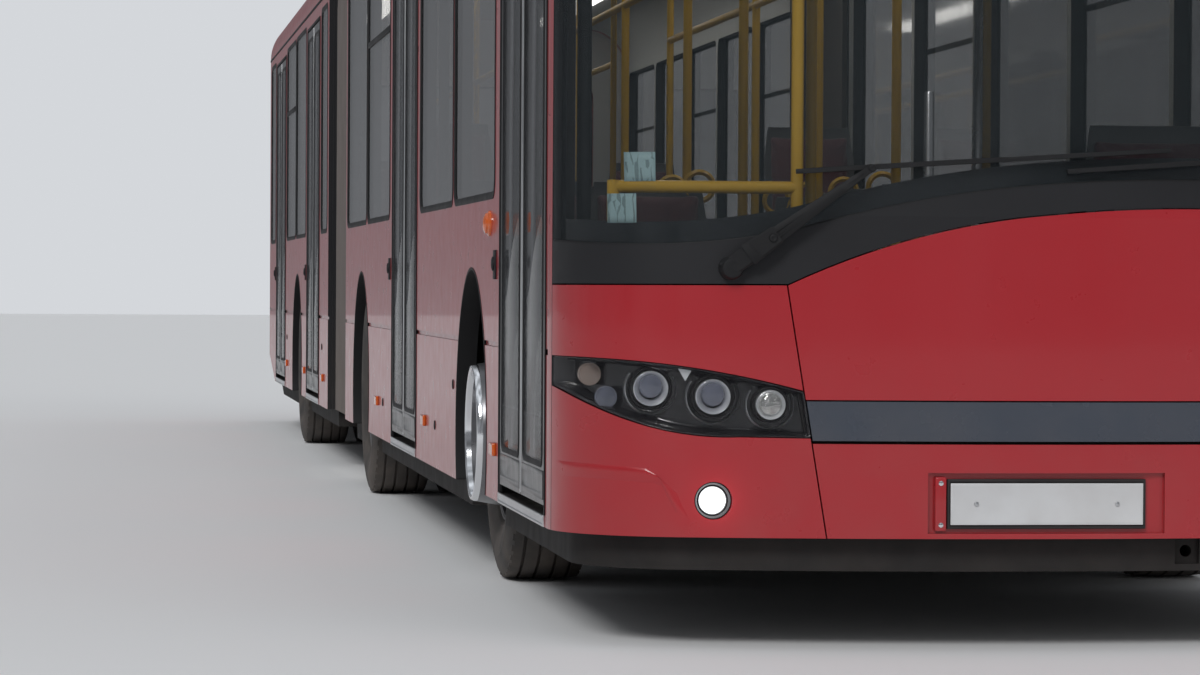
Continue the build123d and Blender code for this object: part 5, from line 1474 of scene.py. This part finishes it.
def close_ends():
    """Puts a face on each open end of the piece being edited."""
    bpy.ops.mesh.select_all(action="DESELECT")
    bpy.ops.mesh.select_mode(type="EDGE")
    bpy.ops.mesh.select_non_manifold()
    bpy.ops.mesh.edge_face_add()
    bpy.ops.mesh.select_all(action="SELECT")


def strap(name, start, end, widths, lifts, depths, columns=24, bow=0.0):
    """A bar over the glass between two (x, z) points, with its width, lift and depth given at both ends."""
    (x0, z0), (x1, z1) = start, end
    length = math.hypot(x1 - x0, z1 - z0)
    across = Vector((-(z1 - z0) / length, (x1 - x0) / length))

    def place(u, v):
        wide, deep = ROUND_RECTANGLE[round(v * 8)]
        half = blend_between(*widths, u) / 2
        x = blend_between(x0, x1, u) + across.x * wide * half
        z = blend_between(z0, z1, u) + across.y * wide * half
        lift = blend_between(*lifts, u) + bow * 4 * u * (1 - u) + deep * blend_between(*depths, u) / 2
        return nose_point(nose_run(x, z), z, -lift)
    bar = edit_all(laid_grid(name, columns, 8, place), lambda: bpy.ops.mesh.remove_doubles(threshold=0.00005),
                   close_ends, lambda: bpy.ops.mesh.normals_make_consistent(inside=False))
    return smooth(bar, 40)


def level_strap(name, start, end, shares, width, lift, depth, columns, bow=0.0):
    """A bar of one width, lift and depth between two shares of a line."""
    low, high = (between(start, end, share) for share in shares)
    return strap(name, low, high, (width, width), (lift, lift), (depth, depth), columns, bow)


# %% [markdown]
# Both wipers are parked low on the glass with their blades nearly level. Every bar is a strap between two
# points, so the table holds only the pivots, the elbows and the ends of the blades.

# %% Wiper arms and blades
WIPERS = [
    # pivot, elbow, blade start, blade end, shares of the blade that the bridge spans
    ((-0.841, 1.011), (-0.476, 1.275), (-0.670, 1.266), (0.329, 1.330), (0.02, 0.55)),
    ((0.841, 1.194), (0.500, 1.320), (0.046, 1.271), (1.000, 1.340), (0.16, 0.80)),
]
wiper_parts = []
for pivot, elbow, start, end, bridged in WIPERS:
    hinge = between(pivot, elbow, 0.30)
    arm_end = between(hinge, elbow, 0.92)
    wiper_parts += [
        strap("arm_root", between(pivot, elbow, -0.03), hinge, (0.050, 0.054), (0.022, 0.036),
              (0.022, 0.026), 8),
        strap("arm_cap", between(pivot, elbow, 0.13), between(pivot, elbow, 0.34), (0.062, 0.050),
              (0.032, 0.038), (0.026, 0.022), 8, bow=0.004),
        strap("arm", hinge, elbow, (0.046, 0.018), (0.036, 0.040), (0.012, 0.010), 20, bow=0.005)]
    for offset in (-0.010, 0.010):
        wiper_parts.append(strap("arm_fold", (hinge[0], hinge[1] + offset), arm_end, (0.004, 0.003),
                                 (0.044, 0.046), (0.006, 0.004), 16))
    wiper_parts += [
        level_strap("blade_rubber", start, end, (0, 1), 0.009, 0.006, 0.012, 40),
        level_strap("blade_spine", start, end, (0, 1), 0.013, 0.014, 0.004, 40),
        level_strap("bridge", start, end, bridged, 0.014, 0.018, 0.007, 20, bow=0.012),
        level_strap("yoke", start, end, (0.03, 0.34), 0.012, 0.016, 0.006, 14, bow=0.006),
        level_strap("yoke", start, end, (0.62, 0.97), 0.012, 0.016, 0.006, 14, bow=0.006)]
    for (x, z), lift, radius, depth in ((pivot, -0.012, 0.030, 0.052), (elbow, 0.022, 0.011, 0.028),
                                        (hinge, 0.030, 0.012, 0.026)):
        wiper_parts.append(lathe("joint", [
            (0.0, radius * 1.1), (depth * 0.8, radius), (depth * 0.95, radius * 0.85),
            (depth, radius * 0.55), (depth * 0.9, 0.0)], nose_point(nose_run(x, z), z, -lift), FORWARDS, 28))
wipers = join(wiper_parts, "wiper_arms_and_blades")
dress(wipers, FRONT, seal_rubber)
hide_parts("wipers")
print("wiper faces", len(wipers.data.polygons))

# %% [markdown]
# The corner of the bumper has a soft crease that runs in from the side and turns down beside the fog lamp.
# It is a low ridge in the same paint. The seams between the big panels stay as the CAD cut them.

# %% Bumper crease
CREASE = [(1.262, 0.483), (1.180, 0.481), (1.100, 0.478), (1.050, 0.473), (1.025, 0.462), (1.008, 0.440),
          (0.992, 0.405), (0.967, 0.357)]
RIDGE = [(-0.009, -0.0010), (-0.004, 0.0016), (0.001, 0.0030), (0.012, 0.0022), (0.030, 0.0004),
         (0.034, -0.0010)]


def crease_place(side):
    """Lays the ridge along the crease of one side, tapered at both ends."""
    def place(u, v):
        x, z = along_path(CREASE, u)
        ahead_x, ahead_z = along_path(CREASE, u + 0.02 if u < 0.98 else u)
        behind_x, behind_z = along_path(CREASE, max(0.0, u - 0.02))
        run, rise = ahead_x - behind_x, ahead_z - behind_z
        out, proud = RIDGE[round(v * 5)]
        share = out / math.hypot(run, rise)
        x, z = x + rise * share, z + run * share
        return nose_point(side * nose_run(x, z), z, -proud * min(1.0, 8 * u, 8 * (1 - u)))
    return place


for side, label in SIDES:
    nose_sheet(label + "_bumper_crease", 60, 5, crease_place(side), red_paint, "red_paint", 70)
print("creases", len(SIDES))

# %% [markdown]
# ## The driver's place and the cabin
# Behind the windscreen stand an instrument hood with two dials, a ticket printer, a row of buttons and the
# steering wheel's padded grip. The hood is a block whose top is drawn in and whose side towards the driver
# is pressed, so that the dials sit in a hollow.

# %% Driver's instruments
WHEEL_TILT = math.radians(35)
hood = slab("instrument_hood", (0.470, along(0.330), 1.000), (0.870, along(0.520), 1.120))
shape_faces(hood, looking("+Z"), lambda: bpy.ops.transform.resize(value=(0.86, 0.62, 1)))
shape_faces(hood, lambda normal: normal.y > 0.5, pressing((0.012, 0.0), (0.004, -0.02)))
dress(soften(hood, 0.010, 3), FRONT, dash_plastic)
dials = [lathe("dial", [(-0.012, 0.046), (0.004, 0.046), (0.006, 0.042), (0.001, 0.039), (0.0, 0.0)],
               (x, along(0.498), 1.058), (0, 0.96, 0.28), 32) for x in (0.585, 0.755)]
dress(join(dials, "instrument_dials"), FRONT, black_gloss)
fitting("ticket_printer", FRONT, dash_plastic, (0.270, 0.410), (along(0.380), along(0.560)),
        (1.005, 1.210), 0.009, 3, press=("+Y", (0.012, 0.0), (0.004, -0.006)))
knobs = [lathe("knob", [(0.0, 0.012), (0.012, 0.011), (0.015, 0.008), (0.015, 0.0)],
               (-0.10 + 0.05 * number, along(0.560), 1.006), UPWARDS, 20) for number in range(6)]
dress(join(knobs, "dash_buttons"), FRONT, black_matte)
wheel_grip = lathe("steering_wheel_grip", [
    (0.017, 0.222), (0.012, 0.234), (0.0, 0.239), (-0.012, 0.234), (-0.017, 0.222), (-0.012, 0.210),
    (0.0, 0.205), (0.012, 0.210), (0.017, 0.222)], (0.670, along(0.660), 0.940),
    (0, math.sin(WHEEL_TILT), math.cos(WHEEL_TILT)), 64)
dress(wheel_grip, FRONT, black_matte)
print("dials", len(dials), "knobs", len(knobs))

# %% [markdown]
# Long diffuse strips under the ceiling light the cabin, so that the seats show through the tinted glass. Each
# is a shallow box whose lower side is pressed in a little. The strip itself gives off light, which is truer
# to the real diffuser than a row of hidden lamps.

# %% Ceiling lights
ceiling_glow, tree, shader, place = blank_material("ceiling_diffuser", {
    "Base Color": (0.85, 0.86, 0.84, 1), "Roughness": 0.4, "Emission Strength": 3.4})
ripple = ranged(tree, noise(tree, place, 3.0), 0.85, 1.0, 0.3, 0.7)
tree.links.new(mixed(tree, ripple, (0.75, 0.78, 0.80), (1.0, 0.98, 0.93)), shader.inputs["Emission Color"])
for section, start, end in ((FRONT, 1.90, 9.15), (REAR, 11.05, 17.60)):
    strips = [slab("strip", (side * 0.56, along(start), 2.752), (side * 0.68, along(end), 2.812), 0.004,
                   press=("-Z", (0.012, 0.0), (0.006, -0.004))) for side, label in SIDES]
    dress(join(strips, section + "_ceiling_lights"), section, ceiling_glow)
    print(section, "light strips", len(strips))

# %% [markdown]
# ## Mirrors, posts and blank stickers
# The mirror heads get their glass on the side that looks back. One pale post stands at the corner of the
# driver's screen and one on the dash, and two small blank stickers sit inside the corner of the windscreen.

# %% Mirror glass, posts and stickers
MIRROR_X, MIRROR_Y = 1.175, along(-0.10) + 0.060
for side, label in SIDES:
    for part, low, high in (("main", 2.075, 2.335), ("wide", 1.965, 2.060)):
        fitting("%s_mirror_%s" % (label, part), FRONT, mirror_glass,
                (side * MIRROR_X - 0.072, side * MIRROR_X + 0.072), (MIRROR_Y - 0.002, MIRROR_Y + 0.002),
                (low, high), 0.0010, press=("+Y", (0.004, 0.0), (0.001, -0.0008)))
corner_post = lathe("cab_corner_post", [(0.0, 0.026), (0.006, 0.025), (0.009, 0.017), (1.700, 0.016),
                                        (1.706, 0.012), (1.708, 0.0)],
                    (0.176, along(1.690), 0.331), UPWARDS, 24)
dress(corner_post, FRONT, pole_steel)
dash_post = lathe("dash_post", [(0.0, 0.030), (0.006, 0.028), (0.010, 0.015), (0.490, 0.0140), (0.497, 0.011),
                                (0.499, 0.0)], (-0.210, along(0.560), 1.008), UPWARDS, 24)
dress(dash_post, FRONT, pole_steel)
sticker_cyan = finish_material("sticker_cyan", (0.26, 0.38, 0.39), roughness=0.5, tone=0.1, tone_scale=20.0)


def sticker_place(x, z):
    """Lays a small sheet behind the glass round one point."""
    return lambda u, v: nose_point(nose_run(x, z) + (u - 0.5) * 0.096, z + (v - 0.5) * 0.078, 0.0220)


for number, (x, z) in enumerate(((-1.081, 1.279), (-1.128, 1.169))):
    nose_sheet("blank_sticker_%d" % number, 6, 4, sticker_place(x, z), sticker_cyan,
               thickness=0.0006, offset=-1)
print("mirror glasses", 2 * len(SIDES))

# %% [markdown]
# ## The tail
# The tail carries three round lamps a side in square bezels, a sealed window, an engine flap with slanted
# louvres, a blank plate, reflectors, and a long stop lamp above the window.

# %% Tail lamps and markers
TAIL_LAMP_X, TAIL_MARKER_X = 1.040, 1.060
BACKWARDS = (0, 1, 0)
LENS = [(0.0, 0.0485), (0.008, 0.0480), (0.0105, 0.0455), (0.0085, 0.0420), (0.0125, 0.0370),
        (0.0105, 0.0320), (0.0140, 0.0260), (0.0120, 0.0200), (0.0150, 0.0130), (0.0155, 0.0)]


def tail_block(name, middle, half_width, z0, z1, proud, edge=0.0, segments=2, press=()):
    """A block on the tail panel, standing proud of it."""
    return slab(name, (middle - half_width, TAIL_Y - 0.001, z0), (middle + half_width, TAIL_Y + proud, z1),
                edge, segments, press and ("+Y", *press))


lens_sets = {"red": [], "orange": [], "clear": []}
bezels = []
for side, label in SIDES:
    x = side * TAIL_LAMP_X
    for z, colour in ((1.160, "red"), (1.030, "orange"), (0.900, "clear")):
        bezels.append(tail_block("bezel", x, 0.059, z - 0.059, z + 0.059, 0.012, 0.004, 3,
                                 ((0.005, 0.0), (0.002, -0.004))))
        lens_sets[colour].append(lathe("lens", LENS, (x, TAIL_Y + 0.006, z), BACKWARDS, 40))
    for z in (2.440, 0.600):
        lens_sets["red"].append(tail_block("marker", side * TAIL_MARKER_X, 0.045, z - 0.018, z + 0.018, 0.010,
                                           0.003, 3, ((0.006, 0.002),)))
lens_sets["red"].append(tail_block("stop_lamp", 0.0, 0.230, 2.400, 2.428, 0.012, 0.005, 3))
bezels = join(bezels, "tail_lamp_bezels")
dress(bezels, REAR, black_gloss)
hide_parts("tail_lamps")
for colour, finish in (("red", red_lens), ("orange", orange_lens), ("clear", clear_lens)):
    dress(join(lens_sets[colour], "tail_lenses_" + colour), REAR, finish)
    print(colour, "lenses", len(lens_sets[colour]))

# %% [markdown]
# The rear window has the same rubber gasket as the side windows. The engine flap below it has a seam all
# round, louvres in a frame, two latches and a plate with its lamp. A louvre is a thin block whose outer side
# is pushed down, which slants it without any turning.

# %% Tail window, flap and plate
SEAM = [(0.0025, -0.0010), (0.0025, 0.0006), (0.0, 0.0010), (-0.0025, 0.0006), (-0.0025, -0.0010),
        (0.0025, -0.0010)]
LOUVRES = 9
LOUVRE_LOW, LOUVRE_STEP = 0.892, 0.0262


def tail_ring(name, half_width, z0, z1, corner, section):
    """A ring round an opening of the tail, like the one for the side walls."""
    return ring_round(name, (0.0, (z0 + z1) / 2), half_width * 2, z1 - z0, corner, section,
                      lambda run, up, proud: Vector((run, TAIL_Y + proud, up)))


dress(tail_ring("tail_window_gasket", 1.0, 1.35, 2.35, 0.060, GASKET), REAR, seal_rubber)
flap_parts = [
    tail_ring("flap_seam", 0.900, 0.520, 1.260, 0.050, SEAM),
    tail_block("louvre_frame", 0.0, 0.520, 0.860, 1.130, 0.010, 0.003, 2, ((0.018, 0.0), (0.002, -0.009)))]
for number in range(LOUVRES):
    z = LOUVRE_LOW + LOUVRE_STEP * number
    blade = tail_block("louvre", 0.0, 0.500, z - 0.010, z + 0.002, 0.009)
    shape_faces(blade, looking("+Y"), lambda: bpy.ops.transform.translate(value=(0, 0, -0.006)))
    flap_parts.append(soften(blade, 0.0012))
for x in (-0.80, 0.80):
    flap_parts.append(lathe("flap_latch", [(-0.001, 0.024), (0.004, 0.0235), (0.006, 0.019), (0.003, 0.016),
                                           (0.003, 0.0)], (x, TAIL_Y, 0.60), BACKWARDS, 28))
flap_parts.append(tail_block("tail_rub_strip", 0.0, 1.100, 0.476, 0.512, 0.014, 0.005))
dress(join(flap_parts, "tail_flap_trim"), REAR, black_matte)
plate_holder("rear_plate_holder", TAIL_Y - 0.001, TAIL_Y + 0.008, 0.700, REAR, "+Y")
plate("rear_plate", TAIL_Y + 0.0068, 0.700, REAR, "+Y")
dress(tail_block("rear_plate_light", 0.0, 0.070, 0.778, 0.802, 0.026, 0.006, 3), REAR,
      black_gloss)
print("louvres", LOUVRES)

# %% [markdown]
# ## The roof
# Two of the low covers on the roof have four fan guards on top and a row of slots down each side, and the
# two small hatches have grips. A rubber strip covers the joint of roof and wall all along the bus.

# %% Fan guards, slots and gutters
ROOF_COVERS = [
    # section, start behind the nose, length, top, places of the fans
    (FRONT, 1.70, 2.30, 3.000, (0.62, 1.68)), (REAR, 12.15, 2.00, 3.000, (0.55, 1.45)),
    (FRONT, 5.15, 0.80, 2.925, ()), (REAR, 14.75, 0.80, 2.925, ()),
]
COVER_HALF = 0.76
SLOT_PITCH = 0.17
GUARD_RINGS = [
    # radius, half thickness, height
    (0.270, 0.014, 0.016), (0.205, 0.005, 0.019), (0.145, 0.005, 0.021), (0.085, 0.005, 0.022),
]


def fan_guard(x, y, z):
    """A bowl under four rings, a hub and three spokes."""
    foot = (x, y, z)
    parts = [lathe("guard", [(-0.002, radius + thick), (rise * 0.7, radius + thick * 0.8), (rise, radius),
                             (rise * 0.7, radius - thick * 0.8), (-0.002, radius - thick)], foot, UPWARDS)
             for radius, thick, rise in GUARD_RINGS]
    parts += [
        lathe("fan_bowl", [(-0.004, 0.262), (0.001, 0.260), (0.002, 0.240), (0.0015, 0.0)], foot, UPWARDS),
        lathe("guard_hub", [(-0.002, 0.045), (0.020, 0.044), (0.024, 0.036), (0.024, 0.0)], foot, UPWARDS,
              32)]
    middle = Vector((x, y, z + 0.014))
    for step in range(3):
        reach = Vector((math.cos(math.pi * step / 3), math.sin(math.pi * step / 3), 0)) * 0.268
        parts.append(rod("spoke", middle - reach, middle + reach, 0.005))
    return parts


def side_slots(start, length, top):
    """A row of short slots down each side of a cover."""
    count = round(length / SLOT_PITCH)
    places = [along(start + 0.20 + (length - 0.40) * (step + 0.5) / count) for step in range(count)]
    return [slab("slot", (side * (COVER_HALF - 0.004), y - 0.055, top - 0.075),
                 (side * (COVER_HALF + 0.003), y + 0.055, top - 0.060), 0.003)
            for side, label in SIDES for y in places]


def hatch_trim(start, length, top):
    """Two grips and a rib on a small hatch."""
    middle, rib_y = along(start + length / 2), along(start + 0.40)
    parts = [slab("hatch_grip", (-0.090, middle + side * 0.20 - 0.012, top - 0.002),
                  (0.090, middle + side * 0.20 + 0.012, top + 0.018), 0.006, 3) for side, label in SIDES]
    parts.append(slab("hatch_rib", (-0.30, rib_y - 0.020, top - 0.002), (0.30, rib_y + 0.020, top + 0.008),
                      0.004))
    return parts


for number, (section, start, length, top, fans) in enumerate(ROOF_COVERS):
    parts = side_slots(start, length, top) if fans else hatch_trim(start, length, top)
    for distance in fans:
        for across in (-0.36, 0.36):
            parts += fan_guard(across, along(start + distance), top)
    dress(join(parts, "roof_cover_trim_%d" % number), section, black_matte)
    print("roof cover", number, "pieces", len(parts))
for section, start, end in ((FRONT, 0.52, 9.345), (REAR, 10.855, 17.83)):
    gutters = [slab("gutter", (side * 1.2735, along(start), 2.494), (side * 1.2785, along(end), 2.508), 0.002)
               for side, label in SIDES]
    dress(join(gutters, section + "_gutters"), section, seal_rubber)
